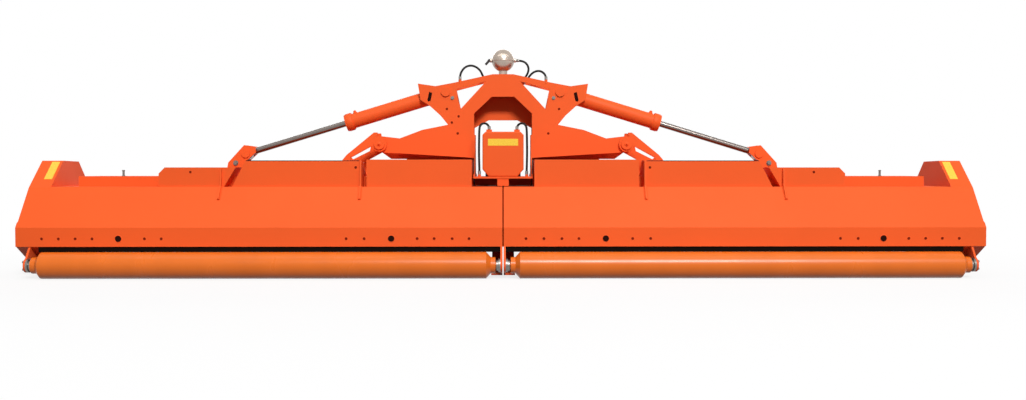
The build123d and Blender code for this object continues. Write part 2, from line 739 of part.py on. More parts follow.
# Cylinder mounts: plates welded to the tower's flanks, braced up to its top
mount_outline = [
    (67, TOWER_TOP),
    (BASE_PIN_X - 52, BASE_PIN_Z + 59),
    (BASE_PIN_X + 67, BASE_PIN_Z + 37),
    (BASE_PIN_X + 180, BASE_PIN_Z + 53),
    (BASE_PIN_X + 163, BASE_PIN_Z - 52),
    (BASE_PIN_X + 107, BASE_PIN_Z - 87),
    (BASE_PIN_X + 34, BASE_PIN_Z - 153),
    (LEG_INNER + 169, HINGE_Z + 125),
    (LEG_INNER + 89, HINGE_Z + 225),
    (BASE_PIN_X - 66, BASE_PIN_Z + 18),
    (67 + 0.2 * (LEG_INNER + 22), TOWER_TOP - 0.2 * 226),
]
MOUNT_STUD_X = BASE_PIN_X - 92
MOUNT_STUD_TOP = BASE_PIN_Z + 79
with BuildPart() as cylinder_mount:
    for depth in (REAR_PLATE, FRONT_PLATE):
        with BuildSketch(upright(depth)):
            outline(mount_outline)
            disc((BASE_PIN_X, BASE_PIN_Z), PIN_R, mode=Mode.SUBTRACT)
        extrude(amount=-TOWER_T)
    with BuildSketch(Plane.XY.offset(MOUNT_STUD_TOP - STUD_LEN - 12)):
        disc((MOUNT_STUD_X, STRIP_Y + REAR_PLATE + TOWER_T / 2), STUD_R)
    extrude(amount=STUD_LEN + 12)
cylinder_mount.part.label = "cylinder_mount"

# Pivot pins: the fold hinge pins and the cylinder base pins, with their heads
PINS = [  # place across, height, radius, depth of the rear and front ends
    (HINGE_X, HINGE_Z, HINGE_PIN_R, EAR_REAR - 12, EAR_FRONT + EAR_T + 12),
    (BASE_PIN_X, BASE_PIN_Z, PIN_R, REAR_PLATE - 10, FRONT_PLATE + TOWER_T + 10),
]
with BuildPart() as pivot_pins:
    for side in (-1, 1):
        for pin_x, pin_z, radius, back, front in PINS:
            with BuildSketch(upright(back)):
                disc((side * pin_x, pin_z), radius)
            extrude(amount=back - front)
            for head in (back, front - 8):
                with BuildSketch(upright(head)):
                    disc((side * pin_x, pin_z), radius + 10)
                extrude(amount=-8)
pivot_pins.part.label = "pivot_pins"

# Cradle: low side rails that rise to the tower's legs and run down to the hitch beam, on a base plate
CRADLE_IN = LEG_INNER - CRADLE_T
HITCH_TOP = HITCH_PIN_Z + HITCH_TUBE / 2
HITCH_LOW = HITCH_PIN_Z - HITCH_TUBE / 2
RAIL_Z = CRADLE_Z + CRADLE_RAIL
GEARBOX_Z = CRADLE_Z + END_PLATE
SKIRT_Z = DECK_Z + SKIRT_CLEAR
tower_front = FRONT_PLATE + TOWER_T
cradle_outline = [
    (CRADLE_BACK, CRADLE_Z),
    (CRADLE_BACK, RAIL_Z),
    (REAR_PLATE - 20, RAIL_Z),
    (REAR_PLATE, ARM_BOTTOM),
    (REAR_PLATE, HINGE_Z + 60),
    (tower_front, HINGE_Z + 60),
    (tower_front, ARM_BOTTOM),
    (tower_front + 40, RAIL_Z),
    (HITCH_DEPTH - 80, RAIL_Z),
    (MAST_DEPTH, RAIL_Z - 20),
    (MAST_DEPTH, HITCH_TOP),
    (HITCH_DEPTH, HITCH_TOP),
    (HITCH_DEPTH - 80, CRADLE_Z),
]
HOSE_FOOT_X = 149
HOSE_FOOT_DEPTH = CRADLE_BACK + 15
with BuildPart() as cradle:
    for face_x in (-LEG_INNER, CRADLE_IN):
        with BuildSketch(section(face_x)):
            outline(cradle_outline)
        extrude(amount=CRADLE_T)
    block((-CRADLE_IN, CRADLE_IN), (CRADLE_BACK, GEARBOX_FRONT + 40), (CRADLE_Z, GEARBOX_Z))
    block((-WEB_HALF, WEB_HALF), (CRADLE_BACK + 5, CRADLE_BACK + 5 + SKIRT_T), (SKIRT_Z, CRADLE_Z))
    block((-LEG_INNER, LEG_INNER), (FRONT_PLATE - SKIRT_T, FRONT_PLATE), (SKIRT_Z, CRADLE_Z))
    for side in (-1, 1):
        with BuildSketch(Plane.XY.offset(GEARBOX_Z)):
            disc((side * HOSE_FOOT_X, STRIP_Y + HOSE_FOOT_DEPTH), STUD_R)
        extrude(amount=STUD_LEN)
cradle.part.label = "cradle"

# Gearbox: a cast block with side bosses, on the cradle's base plate
PTO_Z = GEARBOX_Z + PTO_RISE
gearbox_mid = (GEARBOX_BACK + GEARBOX_FRONT) / 2
boss_half = GEARBOX_HALF + GEARBOX_BOSS
with BuildPart() as gearbox:
    block((-GEARBOX_HALF, GEARBOX_HALF), (GEARBOX_BACK, GEARBOX_FRONT), (GEARBOX_Z, GEARBOX_Z + GEARBOX_H))
    chamfer(gearbox.edges().filter_by(Axis.Y).group_by(Axis.Z)[-1], 30)
    with BuildSketch(section(-boss_half)):
        disc((gearbox_mid, PTO_Z), 85)
    extrude(amount=2 * boss_half)
    with BuildSketch(upright(GEARBOX_FRONT + PTO_BOSS)):
        disc((0, PTO_Z), 70)
        disc((0, PTO_Z), PTO_ROOT_R, mode=Mode.SUBTRACT)
    extrude(amount=PTO_BOSS)
gearbox.part.label = "gearbox"

# Gearbox cover: a pan over the gearbox's rear face, cut at its lower corners
cover_top = GEARBOX_Z + 6 + COVER_H
cover_outline = [
    (COVER_HALF - 40, GEARBOX_Z),
    (COVER_HALF, GEARBOX_Z + 46),
    (COVER_HALF, cover_top - 20),
    (COVER_HALF - 20, cover_top),
]
with BuildPart() as gearbox_cover:
    with BuildSketch(upright(COVER_BACK)):
        outline(mirrored(cover_outline))
    extrude(amount=COVER_BACK - GEARBOX_BACK)
    fillet(gearbox_cover.faces().sort_by(Axis.Y)[0].edges(), 8)
    for bump_x in (-BUMP_X, BUMP_X):
        bump_depths = (COVER_BACK + 20, COVER_BACK + 60)
        block((bump_x - 18, bump_x + 18), bump_depths, (cover_top, cover_top + BUMP_H))
gearbox_cover.part.label = "gearbox_cover"

# Power input shaft, with a thicker root in the gearbox's boss
with BuildPart() as pto_shaft:
    with BuildSketch(upright(GEARBOX_FRONT)):
        disc((0, PTO_Z), PTO_ROOT_R)
    extrude(amount=-PTO_BOSS)
    with BuildSketch(upright(GEARBOX_FRONT + PTO_BOSS)):
        disc((0, PTO_Z), PTO_R)
    extrude(amount=-PTO_LEN)
pto_shaft.part.label = "pto_shaft"

# Hitch beam with the plates of the lower links and a guard before the seam, and the link pins
LOWER_X = LOWER_SPAN / 2
plate_in = LOWER_X - LOWER_PLATE
with BuildPart() as hitch_beam:
    depths = (HITCH_DEPTH, HITCH_DEPTH + HITCH_TUBE)
    block((-plate_in, plate_in), depths, (HITCH_LOW, HITCH_TOP))
    inside = (HITCH_DEPTH + SHEET, HITCH_DEPTH + HITCH_TUBE - SHEET)
    block((-plate_in, plate_in), inside, (HITCH_LOW + SHEET, HITCH_TOP - SHEET), mode=Mode.SUBTRACT)
    guard_depths = (HITCH_DEPTH - SEAM_GUARD_T, HITCH_DEPTH)
    block((-SEAM_GUARD_HALF, SEAM_GUARD_HALF), guard_depths, (SEAM_GUARD_BOTTOM, HITCH_TOP))
    for face_x in (-LOWER_X, plate_in):
        with BuildSketch(section(face_x)):
            disc((HITCH_AXIS, HITCH_PIN_Z), HITCH_TUBE / 2)
            with Locations((HITCH_AXIS, HITCH_PIN_Z + 40)):
                Rectangle(HITCH_TUBE, 80)
        extrude(amount=LOWER_PLATE)
hitch_beam.part.label = "hitch_beam"

with BuildPart() as lower_pins:
    for side in (-1, 1):
        with BuildSketch(section(side * LOWER_X)):
            disc((HITCH_AXIS, HITCH_PIN_Z), LOWER_PIN_R)
        extrude(amount=side * LOWER_PIN_LEN)
lower_pins.part.label = "lower_pins"

# Mast: a portal on the hitch beam with stays back to the tower
CLEVIS_IN = TOP_GAP / 2
CLEVIS_OUT = CLEVIS_IN + CLEVIS_T
with BuildPart() as mast:
    with BuildSketch(upright(MAST_DEPTH)):
        outline(mirrored([
            (CLEVIS_OUT + 54, TOP_LINK_Z - 155),
            (MAST_LEG, TOP_LINK_Z - 210),
            (MAST_LEG, HITCH_TOP),
            (MAST_LEG + MAST_W, HITCH_TOP),
            (MAST_LEG + MAST_W, TOP_LINK_Z - 205),
            (CLEVIS_OUT + 74, TOP_LINK_Z - 60),
            (CLEVIS_OUT + 20, TOP_LINK_Z - 60),
        ]))
    extrude(amount=-MAST_T)
    for face_x in (-CLEVIS_OUT - 16, CLEVIS_OUT):
        with BuildSketch(section(face_x)):
            outline([
                (FRONT_PLATE + TOWER_T, HINGE_Z + 250),
                (FRONT_PLATE + TOWER_T, HINGE_Z + 340),
                (MAST_DEPTH, TOP_LINK_Z - 60),
                (MAST_DEPTH, TOP_LINK_Z - 120),
            ])
        extrude(amount=16)
mast.part.label = "mast"

with BuildPart() as top_link_clevis:
    for face_x in (-CLEVIS_OUT, CLEVIS_IN):
        with BuildSketch(section(face_x)):
            with Locations((MAST_DEPTH + MAST_T + 20, TOP_LINK_Z - 50)):
                Rectangle(40, 180)
            disc((HITCH_AXIS, TOP_LINK_Z), 50)
            disc((HITCH_AXIS, TOP_LINK_Z), TOP_BORE_R, mode=Mode.SUBTRACT)
        extrude(amount=CLEVIS_T)
top_link_clevis.part.label = "top_link_clevis"

# Accumulator: a sphere on a short neck on the tower top
with BuildPart() as accumulator:
    sphere_z = TOWER_TOP + NECK_H + SPHERE_R - 8
    with Locations((0, STRIP_Y + BAY_DEPTH, sphere_z)):
        Sphere(SPHERE_R)
    with BuildSketch(Plane.XY.offset(TOWER_TOP)):
        disc((0, STRIP_Y + BAY_DEPTH), 28)
    extrude(amount=NECK_H)
    with BuildSketch(section(-SPHERE_R - 10)):
        disc((BAY_DEPTH, sphere_z), 13)
    extrude(amount=2 * (SPHERE_R + 10))
accumulator.part.label = "accumulator"

# Hoses: two down beside the gearbox cover, a loop at the accumulator and an arch to each cylinder mount
HOSES = {  # places across, in depth and in height, from stud to stud
    "hose_cover_right": [
        (88, 295, 908.3), (88, 295, 928), (105, 291, 947), (130, 287, 948), (147, 282, 930), (150, 278, 900),
        (151, 275, 850), (152, 271, 765), (150.5, 267, 695), (149, 265, 651), (149, 265, 625.3),
    ],
    "hose_loop_right": [
        (83.8, 513, 1366.5), (120.7, 513, 1366.5), (153.5, 513, 1349.8), (169.1, 513, 1316.4),
        (161.4, 513, 1280.4), (139.7, 513, 1250.6), (120.6, 513, 1233.2),
    ],
    "hose_arch_left": [
        (-110.6, 513, 1244.2), (-132.8, 513, 1264.4), (-140, 505, 1302), (-166, 490, 1336),
        (-208, 474, 1352), (-248, 460, 1336), (-270, 450, 1300), (-278, 445, 1266), (-278, 445, 1236.3),
    ],
    "hose_arch_right": [
        (134.6, 480, 1217.8), (156.8, 480, 1238), (176, 474, 1268), (202, 465, 1290), (236, 456, 1296),
        (264, 449, 1281), (278, 445, 1257), (278, 445, 1236.3),
    ],
}
HOSES["hose_cover_left"] = [(-x, depth, z) for x, depth, z in HOSES["hose_cover_right"]]
hoses = []
for name, places in HOSES.items():
    points = [Vector(x, STRIP_Y + depth, z) for x, depth, z in places]
    runs = [after - before for before, after in zip(points, points[1:])]
    bends = []
    for before, after in zip(runs, runs[1:]):
        half_turn = radians(before.get_angle(after)) / 2
        bends.append(HOSE_SHARE * min(before.length, after.length) / tan(half_turn))
    with BuildPart() as hose:
        with BuildLine() as route:
            FilletPolyline(*points, radius=bends)
        with BuildSketch(Plane(origin=route.line @ 0, z_dir=route.line % 0)):
            Circle(HOSE_R)
        sweep(path=route.line)
    hose.part.label = name
    hoses.append(hose)
    hose_length = sum(edge.length for edge in route.edges())
    filled = hose.part.volume / (pi * HOSE_R**2 * hose_length)
    print(name, "length", round(hose_length), "volume share", round(filled, 3), "radii",
          [round(bend) for bend in bends])

# Write the right-hand pieces of the wing and cylinder with their left-hand twins
handed = [
    hood, belt_guard, rear_curtain, end_plates, skids, spine_beam, spine_covers, hinge_ears, gussets,
    cylinder_ears, bearings, front_flaps, roller, rotor, hammers, barrel, rod, cylinder_mount,
]
for piece in handed:
    base_name = piece.part.label
    with BuildPart() as twin:
        mirror(piece.part, about=Plane.YZ)
    piece.part.label = f"{base_name}_right"
    twin.part.label = f"{base_name}_left"
    export_step(piece.part, f"parts/{piece.part.label}.step")
    export_step(twin.part, f"parts/{twin.part.label}.step")

centre = [
    tower_rear_plate, tower_front_plate, tower_ties, pivot_pins, cradle, gearbox, gearbox_cover, pto_shaft,
    hitch_beam, lower_pins, mast, top_link_clevis, accumulator,
]
for piece in centre + hoses:
    export_step(piece.part, f"parts/{piece.part.label}.step")
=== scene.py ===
"""Folding tractor mulcher: paint, hoses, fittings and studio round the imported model, as a Blender add-on."""
import json
from math import cos, pi, radians, sin

import bmesh
import bpy
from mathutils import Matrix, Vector


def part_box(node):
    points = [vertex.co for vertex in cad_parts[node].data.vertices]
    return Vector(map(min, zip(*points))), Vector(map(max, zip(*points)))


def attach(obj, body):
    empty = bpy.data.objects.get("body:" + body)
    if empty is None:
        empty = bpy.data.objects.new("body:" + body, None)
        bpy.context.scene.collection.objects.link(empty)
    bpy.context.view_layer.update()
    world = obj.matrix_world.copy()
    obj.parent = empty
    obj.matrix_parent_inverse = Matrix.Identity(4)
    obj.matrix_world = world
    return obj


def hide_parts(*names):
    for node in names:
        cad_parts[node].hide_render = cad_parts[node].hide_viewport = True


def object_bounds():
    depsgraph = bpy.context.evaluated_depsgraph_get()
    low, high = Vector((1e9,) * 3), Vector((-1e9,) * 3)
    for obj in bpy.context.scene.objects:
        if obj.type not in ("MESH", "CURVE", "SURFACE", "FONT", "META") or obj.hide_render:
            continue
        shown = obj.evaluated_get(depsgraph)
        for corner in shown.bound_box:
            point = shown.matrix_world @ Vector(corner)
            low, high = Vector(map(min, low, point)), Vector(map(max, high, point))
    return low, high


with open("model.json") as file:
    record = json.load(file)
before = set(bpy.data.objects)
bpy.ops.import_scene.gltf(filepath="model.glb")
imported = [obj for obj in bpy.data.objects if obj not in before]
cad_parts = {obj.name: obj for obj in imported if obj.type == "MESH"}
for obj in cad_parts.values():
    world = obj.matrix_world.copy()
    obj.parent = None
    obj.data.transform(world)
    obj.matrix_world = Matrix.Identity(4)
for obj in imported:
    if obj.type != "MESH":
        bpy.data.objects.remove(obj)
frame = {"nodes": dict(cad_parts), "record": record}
CAD_LOW, CAD_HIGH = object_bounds()

bl_info = {
    "name": "Folding tractor mulcher",
    "version": (1, 0, 0),
    "blender": (4, 5, 0),
    "location": "View3D > Sidebar > Mulcher",
    "description": "Paints and dresses a folding tractor mulcher and sets it in a studio",
    "category": "Object",
}

MM = 0.001
SIDES = {"left": -1, "right": 1}
OUT, BACK, AHEAD, UP = Vector((1, 0, 0)), Vector((0, -1, 0)), Vector((0, 1, 0)), Vector((0, 0, 1))

# Places read from the frame, in metres
STRIP_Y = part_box("hood_right")[0].y
GUARD_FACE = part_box("belt_guard_right")[1].x
EAR_LOW, EAR_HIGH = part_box("hinge_ears_right")
SPHERE_LOW, SPHERE_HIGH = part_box("accumulator")
SHAFT_LOW, SHAFT_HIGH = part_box("pto_shaft")
GEAR_LOW, GEAR_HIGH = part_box("gearbox")
LINK_LOW, LINK_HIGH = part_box("lower_pins")
PIVOT_LOW, PIVOT_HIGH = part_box("pivot_pins")
BEAM_LOW, BEAM_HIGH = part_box("spine_beam_right")
JOINTS = {joint["name"]: joint for joint in frame["record"]["behaviour"]["joints"]}
HINGE = Vector(JOINTS["fold_right"]["pos_m"])
ROLLER_AXIS = Vector(JOINTS["roller_spin_right"]["pos_m"])
BASE_PIN = Vector(JOINTS["barrel_swing_right"]["pos_m"])
CYLINDER_WAY = Vector(JOINTS["rod_slide_right"]["axis"]).normalized()


def at(x, depth, z):
    """Point in metres from millimetres across, forward of the hood's strip and up."""
    return Vector((x * MM, STRIP_Y + depth * MM, z * MM))


def depth_of(y):
    """Millimetres forward of the hood's strip, from a place in metres."""
    return (y - STRIP_Y) / MM


COVER_DEPTH = depth_of(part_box("gearbox_cover")[0].y)
TOWER_DEPTH = depth_of(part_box("tower_rear_plate")[0].y)


def to_side(point, side):
    """Point or direction of the right-hand half carried over to a side."""
    return Vector((side * point[0], point[1], point[2]))


def linear(hex_colour):
    """sRGB hex text as the linear colour that shaders take."""
    channels = [int(hex_colour[i:i + 2], 16) / 255 for i in (1, 3, 5)]
    return [c / 12.92 if c <= 0.04045 else ((c + 0.055) / 1.055) ** 2.4 for c in channels] + [1.0]


def colour_property(name, description, hex_colour):
    """Colour that a user may change."""
    return bpy.props.FloatVectorProperty(
        name=name, description=description, subtype="COLOR", size=4, min=0, max=1, default=linear(hex_colour))


def size_property(name, description, millimetres):
    """Length that a user may change."""
    return bpy.props.FloatProperty(
        name=name, description=description, subtype="DISTANCE", unit="LENGTH", min=0, default=millimetres * MM)


class MulcherFinish(bpy.types.PropertyGroup):
    """Colours of the paint, metal and rubber."""

    hood_orange: colour_property("Hood orange", "Enamel on the hood, spine and tower", "#EE5E28")
    roller_orange: colour_property("Roller orange", "Duller, yellower enamel on the rollers", "#E26E1C")
    rotor_black: colour_property("Rotor black", "Enamel on the hammer rotors", "#1C1B1A")
    hammer_steel: colour_property("Hammer steel", "Forged hammers", "#6B625A")
    casting_grey: colour_property("Casting grey", "Gearbox housing", "#3C3D3E")
    bearing_grey: colour_property("Bearing grey", "Bearing housings, pins, collars and plated bolts", "#8A8680")
    chrome: colour_property("Chrome", "Rods of the folding cylinders", "#7A726D")
    accumulator_grey: colour_property("Accumulator grey", "Pressure sphere on the tower", "#C2B2A4")
    # Near-black brown of the curtains: painted shade of the dark recess under the hood's strip
    curtain_brown: colour_property("Curtain brown", "Soiled rubber of the curtains above the rollers", "#110602")
    # Also the black of the strips along the cover tops and the sheet behind the gearbox, which are painted shade
    hose_black: colour_property("Hose black", "Rubber of the hoses, lips and stone flap", "#0F0D0C")
    strip_yellow: colour_property("Strip yellow", "Reflective film", "#F7C928")
    deep_shadow: colour_property("Deep shadow", "Large holes in the hood's strip", "#2A0C06")
    shallow_shadow: colour_property("Shallow shadow", "Small holes in the strip, covers and tower", "#86260E")


class MulcherFittings(bpy.types.PropertyGroup):
    """Sizes of the hoses, bolts, holes, welds and strips."""

    hose_diameter: size_property("Hose diameter", "Outside of the hydraulic hoses", 14)
    bolt_across: size_property("Bolt across flats", "Hexagon head of a plain bolt", 19)
    bolt_height: size_property("Bolt height", "Hexagon head of a plain bolt", 9)
    washer_diameter: size_property("Washer diameter", "Washer under a plain bolt", 28)
    washer_thickness: size_property("Washer thickness", "Washer under a plain bolt", 2.5)
    hole_diameter: size_property("Hole diameter", "Small hole in the hood's strip", 17)
    port_diameter: size_property("Port diameter", "Large hole in the hood's strip", 38)
    weld_width: size_property("Weld width", "Fillet weld along a plate", 9)
    weld_pitch: size_property("Weld pitch", "From one ripple of a weld to the next", 5)
    strip_gauge: size_property("Strip gauge", "Thickness of the reflective film", 0.8)


class MulcherCamera(bpy.types.PropertyGroup):
    """Camera of the studio."""

    lens: bpy.props.FloatProperty(
        name="Lens", description="Focal length in mm on a 36 mm sensor", default=35.09)
    distance: bpy.props.FloatProperty(
        name="Distance", description="From the lens to the hood's strip", subtype="DISTANCE", unit="LENGTH",
        default=6.046)
    height: bpy.props.FloatProperty(
        name="Height", description="Lens above the ground", subtype="DISTANCE", unit="LENGTH", default=0.665)
    pan: bpy.props.FloatProperty(
        name="Pan", description="Aim to the right", subtype="ANGLE", unit="ROTATION", default=radians(0.57))
    dip: bpy.props.FloatProperty(
        name="Dip", description="Aim below the horizon", subtype="ANGLE", unit="ROTATION", default=radians(1.83))


def add_node(tree, kind, settings=(), inputs=()):
    """Add a node to a tree, with its settings and with values or links on its inputs."""
    node = tree.nodes.new(kind)
    for name, value in dict(settings).items():
        setattr(node, name, value)
    for key, value in dict(inputs).items():
        if isinstance(value, bpy.types.NodeSocket):
            tree.links.new(value, node.inputs[key])
        else:
            node.inputs[key].default_value = value
    return node


PATTERNS = {  # texture node, its settings and the output that a finish follows
    "clouds": ("ShaderNodeTexNoise", {}, "Fac"),
    "cells": ("ShaderNodeTexVoronoi", {}, "Distance"),
    "comb": ("ShaderNodeTexVoronoi", {"feature": "DISTANCE_TO_EDGE"}, "Distance"),
}


def shade(colour, factor):
    """A colour made darker or lighter."""
    return [min(1.0, c * factor) for c in colour[:3]] + [1.0]


def make_finish(name, colour, tone, shades, rough, depth, strength, relief=None, spread=(0.3, 0.7), values=()):
    """Material whose colour and roughness follow one pattern, and whose bump follows another or the same one.

    A pattern is a kind, the size of its marks in mm, or one for each axis, and its detail. The bump's depth is in mm.
    """
    material = bpy.data.materials.new(name)
    material.use_nodes = True
    tree = material.node_tree
    tree.nodes.clear()
    shader = add_node(tree, "ShaderNodeBsdfPrincipled", inputs=values)
    add_node(tree, "ShaderNodeOutputMaterial", inputs={"Surface": shader.outputs["BSDF"]})
    place = add_node(tree, "ShaderNodeTexCoord").outputs["Object"]
    relief = relief or tone
    followed = {}
    for pattern in dict.fromkeys((tone, relief)):
        kind, size, *detail = pattern
        texture, settings, output = PATTERNS[kind]
        inputs = {"Detail": detail[0]} if detail else {}
        if isinstance(size, tuple):
            scale = [1 / (length * MM) for length in size]
            stretched = add_node(tree, "ShaderNodeMapping", inputs={"Vector": place, "Scale": scale})
            inputs.update({"Vector": stretched.outputs["Vector"], "Scale": 1.0})
        else:
            inputs.update({"Vector": place, "Scale": 1 / (size * MM)})
        followed[pattern] = add_node(tree, texture, settings, inputs).outputs[output]
    ramp = add_node(tree, "ShaderNodeValToRGB", inputs={"Fac": followed[tone]})
    for stop, position, factor in zip(ramp.color_ramp.elements, spread, shades):
        stop.position = position
        stop.color = shade(colour, factor)
    roughness = add_node(tree, "ShaderNodeMapRange", inputs={
        "Value": followed[tone], "From Min": spread[0], "From Max": spread[1],
        "To Min": rough[0], "To Max": rough[1]})
    bump = add_node(tree, "ShaderNodeBump", inputs={
        "Height": followed[relief], "Strength": strength, "Distance": depth * MM})
    tree.links.new(ramp.outputs["Color"], shader.inputs["Base Color"])
    tree.links.new(roughness.outputs["Result"], shader.inputs["Roughness"])
    tree.links.new(bump.outputs["Normal"], shader.inputs["Normal"])
    return material


HOLE_FINISH = {  # painted shadow inside a punched hole: dark and matt, crumbly at 3 mm
    "tone": ("clouds", 3, 4), "shades": (0.5, 1.0), "rough": (0.8, 0.95), "depth": 1, "strength": 0.4,
    "values": {"Specular IOR Level": 0.08},
}
FINISH_ROWS = {
    # Sprayed enamel on sheet steel: satin, with slow tone changes half a metre long and faint 5 mm orange peel
    "orange_paint": {
        "name": "orange_enamel", "colour": "hood_orange", "tone": ("clouds", 500, 4), "relief": ("clouds", 5, 2),
        "shades": (0.94, 1.0), "rough": (0.56, 0.46), "depth": 0.5, "strength": 0.06,
        "values": {"IOR": 1.5, "Specular IOR Level": 0.13}},
    # Enamel on a rolled tube: yellower, with faint soil rubbed round it in bands up to 0.2 m wide
    "roller_paint": {
        "name": "roller_enamel", "colour": "roller_orange", "tone": ("clouds", (200, 600, 600), 4),
        "relief": ("clouds", 6, 3), "shades": (0.9, 1.0), "rough": (0.34, 0.26), "depth": 0.8,
        "strength": 0.08, "values": {"IOR": 1.5, "Specular IOR Level": 0.34}},
    # Brushed-on black enamel, scuffed by chippings: satin, with paler scrapes 20 mm long
    "rotor_paint": {
        "name": "black_enamel", "colour": "rotor_black", "tone": ("clouds", 20, 8), "shades": (1.0, 3.5),
        "rough": (0.4, 0.6), "depth": 1, "strength": 0.1, "spread": (0.5, 0.75)},
    # Drop-forged steel with mill scale: dark, grainy at 3 mm, and metallic where the scale is rubbed
    "forged_steel": {
        "name": "forged_steel", "colour": "hammer_steel", "tone": ("clouds", 12, 8),
        "relief": ("clouds", 3, 4), "shades": (0.35, 1.0), "rough": (0.6, 0.4), "depth": 0.8,
        "strength": 0.25, "spread": (0.35, 0.65), "values": {"Metallic": 0.7}},
    # Sand-cast iron under thin grey paint: matt, with a sand grain of 2 mm
    "cast_iron": {
        "name": "grey_casting", "colour": "casting_grey", "tone": ("clouds", 80, 4), "relief": ("cells", 2),
        "shades": (0.7, 1.0), "rough": (0.5, 0.65), "depth": 0.6, "strength": 0.3},
    # Turned and zinc-plated steel: grey metal, cloudy at 15 mm with fine tool marks
    "bearing_steel": {
        "name": "machined_steel", "colour": "bearing_grey", "tone": ("clouds", 15, 5),
        "relief": ("clouds", 1.5, 2), "shades": (0.7, 1.0), "rough": (0.42, 0.3), "depth": 0.3,
        "strength": 0.06, "values": {"Metallic": 0.9}},
    # Ground hard chrome on a piston rod: grey and bright, with an oil film in patches of 30 mm
    "chrome_rod": {
        "name": "hard_chrome", "colour": "chrome", "tone": ("clouds", 30, 4), "shades": (0.9, 1.0),
        "rough": (0.24, 0.28), "depth": 0.1, "strength": 0.02, "values": {"Metallic": 1.0}},
    # Silver paint on a welded sphere: it mirrors the sky and the crown softly, dusty in patches of 50 mm
    "accumulator_grey": {
        "name": "accumulator_enamel", "colour": "accumulator_grey", "tone": ("clouds", 50, 5),
        "shades": (0.75, 1.0), "rough": (0.22, 0.34), "depth": 0.3, "strength": 0.05,
        "values": {"Metallic": 0.75}},
    # Cover of a braided hose: black synthetic rubber with a cloth-wrapped finish of 1.5 mm; the same finish on the
    # cover strips and the front sheet is painted shade
    "black_rubber": {
        "name": "hose_rubber", "colour": "hose_black", "tone": ("clouds", 30, 5), "relief": ("cells", 1.5),
        "shades": (1.0, 1.6), "rough": (0.5, 0.65), "depth": 0.3, "strength": 0.2,
        "values": {"Specular IOR Level": 0.2}},
    # Self-adhesive reflective film: yellow with a honeycomb of 4 mm cells under a clear gloss top
    "film": {
        "name": "reflective_film", "colour": "strip_yellow", "tone": ("comb", 4), "shades": (0.8, 1.0),
        "rough": (0.25, 0.35), "depth": 0.2, "strength": 0.1, "spread": (0.02, 0.12),
        "values": {"Coat Weight": 0.5}},
    # Rubber sheet in a near-black brown that is painted shade of the dark recess under the hood's strip: matt,
    # crumbly at 4 mm
    "curtain": {
        "name": "soiled_rubber", "colour": "curtain_brown", "tone": ("clouds", 60, 5),
        "relief": ("clouds", 4, 3), "shades": (0.6, 1.0), "rough": (0.75, 0.9), "depth": 1, "strength": 0.3,
        "values": {"Specular IOR Level": 0.08}},
    "hole": {"name": "deep_hole", "colour": "deep_shadow", **HOLE_FINISH},
    "dimple": {"name": "shallow_hole", "colour": "shallow_shadow", **HOLE_FINISH},
}
FINISHES = {}


class MULCHER_OT_paint(bpy.types.Operator):
    """Give each part of the machine its finish"""

    bl_idname = "mulcher.paint"
    bl_label = "Paint the machine"

    def execute(self, context):
        colours = context.scene.mulcher_finish
        for slot, row in FINISH_ROWS.items():
            FINISHES[slot] = make_finish(**{**row, "colour": list(getattr(colours, row["colour"]))})
        for row in frame["record"]["subparts"]:
            piece = frame["nodes"][row["node"]]
            # The curtains under the hood's strip get the near-black finish of painted shade
            painted_shade_curtain = row["node"].startswith("rear_curtain")
            piece.data.materials.clear()
            piece.data.materials.append(FINISHES["curtain" if painted_shade_curtain else row["material_slot"]])
        return {"FINISHED"}


SHARP_EDGE = radians(35)  # edges that bend by more stay sharp
ROUNDING_STEPS = 2


def keep_piece(piece, body):
    """Let a finished piece ride on its body."""
    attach(piece, body)
    return piece


def mesh_piece(name, shape, body, slot, finish=None):
    """Object from a bmesh, with its faces turned outwards and its finish."""
    bmesh.ops.recalc_face_normals(shape, faces=shape.faces)
    mesh = bpy.data.meshes.new(name)
    shape.to_mesh(mesh)
    shape.free()
    mesh.shade_smooth()
    mesh.set_sharp_from_angle(angle=SHARP_EDGE)
    mesh.materials.append(FINISHES[finish or slot])
    piece = bpy.data.objects.new(name, mesh)
    bpy.context.scene.collection.objects.link(piece)
    return keep_piece(piece, body)


def turn(shape, foot, way, profile, sides=24):
    """Add a turned piece to a bmesh, solid or as a ring, from distances along its axis and radii in mm."""
    way = Vector(way).normalized()
    spin = way.to_track_quat("Z", "Y")
    solid = profile[-1][1] == 0
    if solid:
        profile = [(profile[0][0], 0), *profile]
    rings = []
    for distance, radius in profile:
        middle = foot + way * distance * MM
        if radius == 0:
            rings.append([shape.verts.new(middle)])
            continue
        ring = []
        for step in range(sides):
            angle = 2 * pi * step / sides
            out = spin @ Vector((cos(angle), sin(angle), 0))
            ring.append(shape.verts.new(middle + out * radius * MM))
        rings.append(ring)
    for lower, upper in zip(rings, rings[1:] if solid else rings[1:] + rings[:1]):
        for step in range(sides):
            after = (step + 1) % sides
            corners = [lower[step % len(lower)], lower[after % len(lower)], upper[after % len(upper)],
                       upper[step % len(upper)]]
            shape.faces.new(list(dict.fromkeys(corners)))


def plate(shape, corners, way, gauge, bevel=0.0):
    """Add a flat plate to a bmesh, from its corners on the face that carries it, with its rim rounded off."""
    lower = [shape.verts.new(corner) for corner in corners]
    upper = [shape.verts.new(corner + way * gauge) for corner in corners]
    shape.faces.new(lower)
    top = shape.faces.new(upper)
    for step in range(len(corners)):
        after = (step + 1) % len(corners)
        shape.faces.new([lower[step], lower[after], upper[after], upper[step]])
    if bevel:
        bmesh.ops.bevel(shape, geom=list(top.edges), offset=bevel, segments=ROUNDING_STEPS, affect="EDGES")


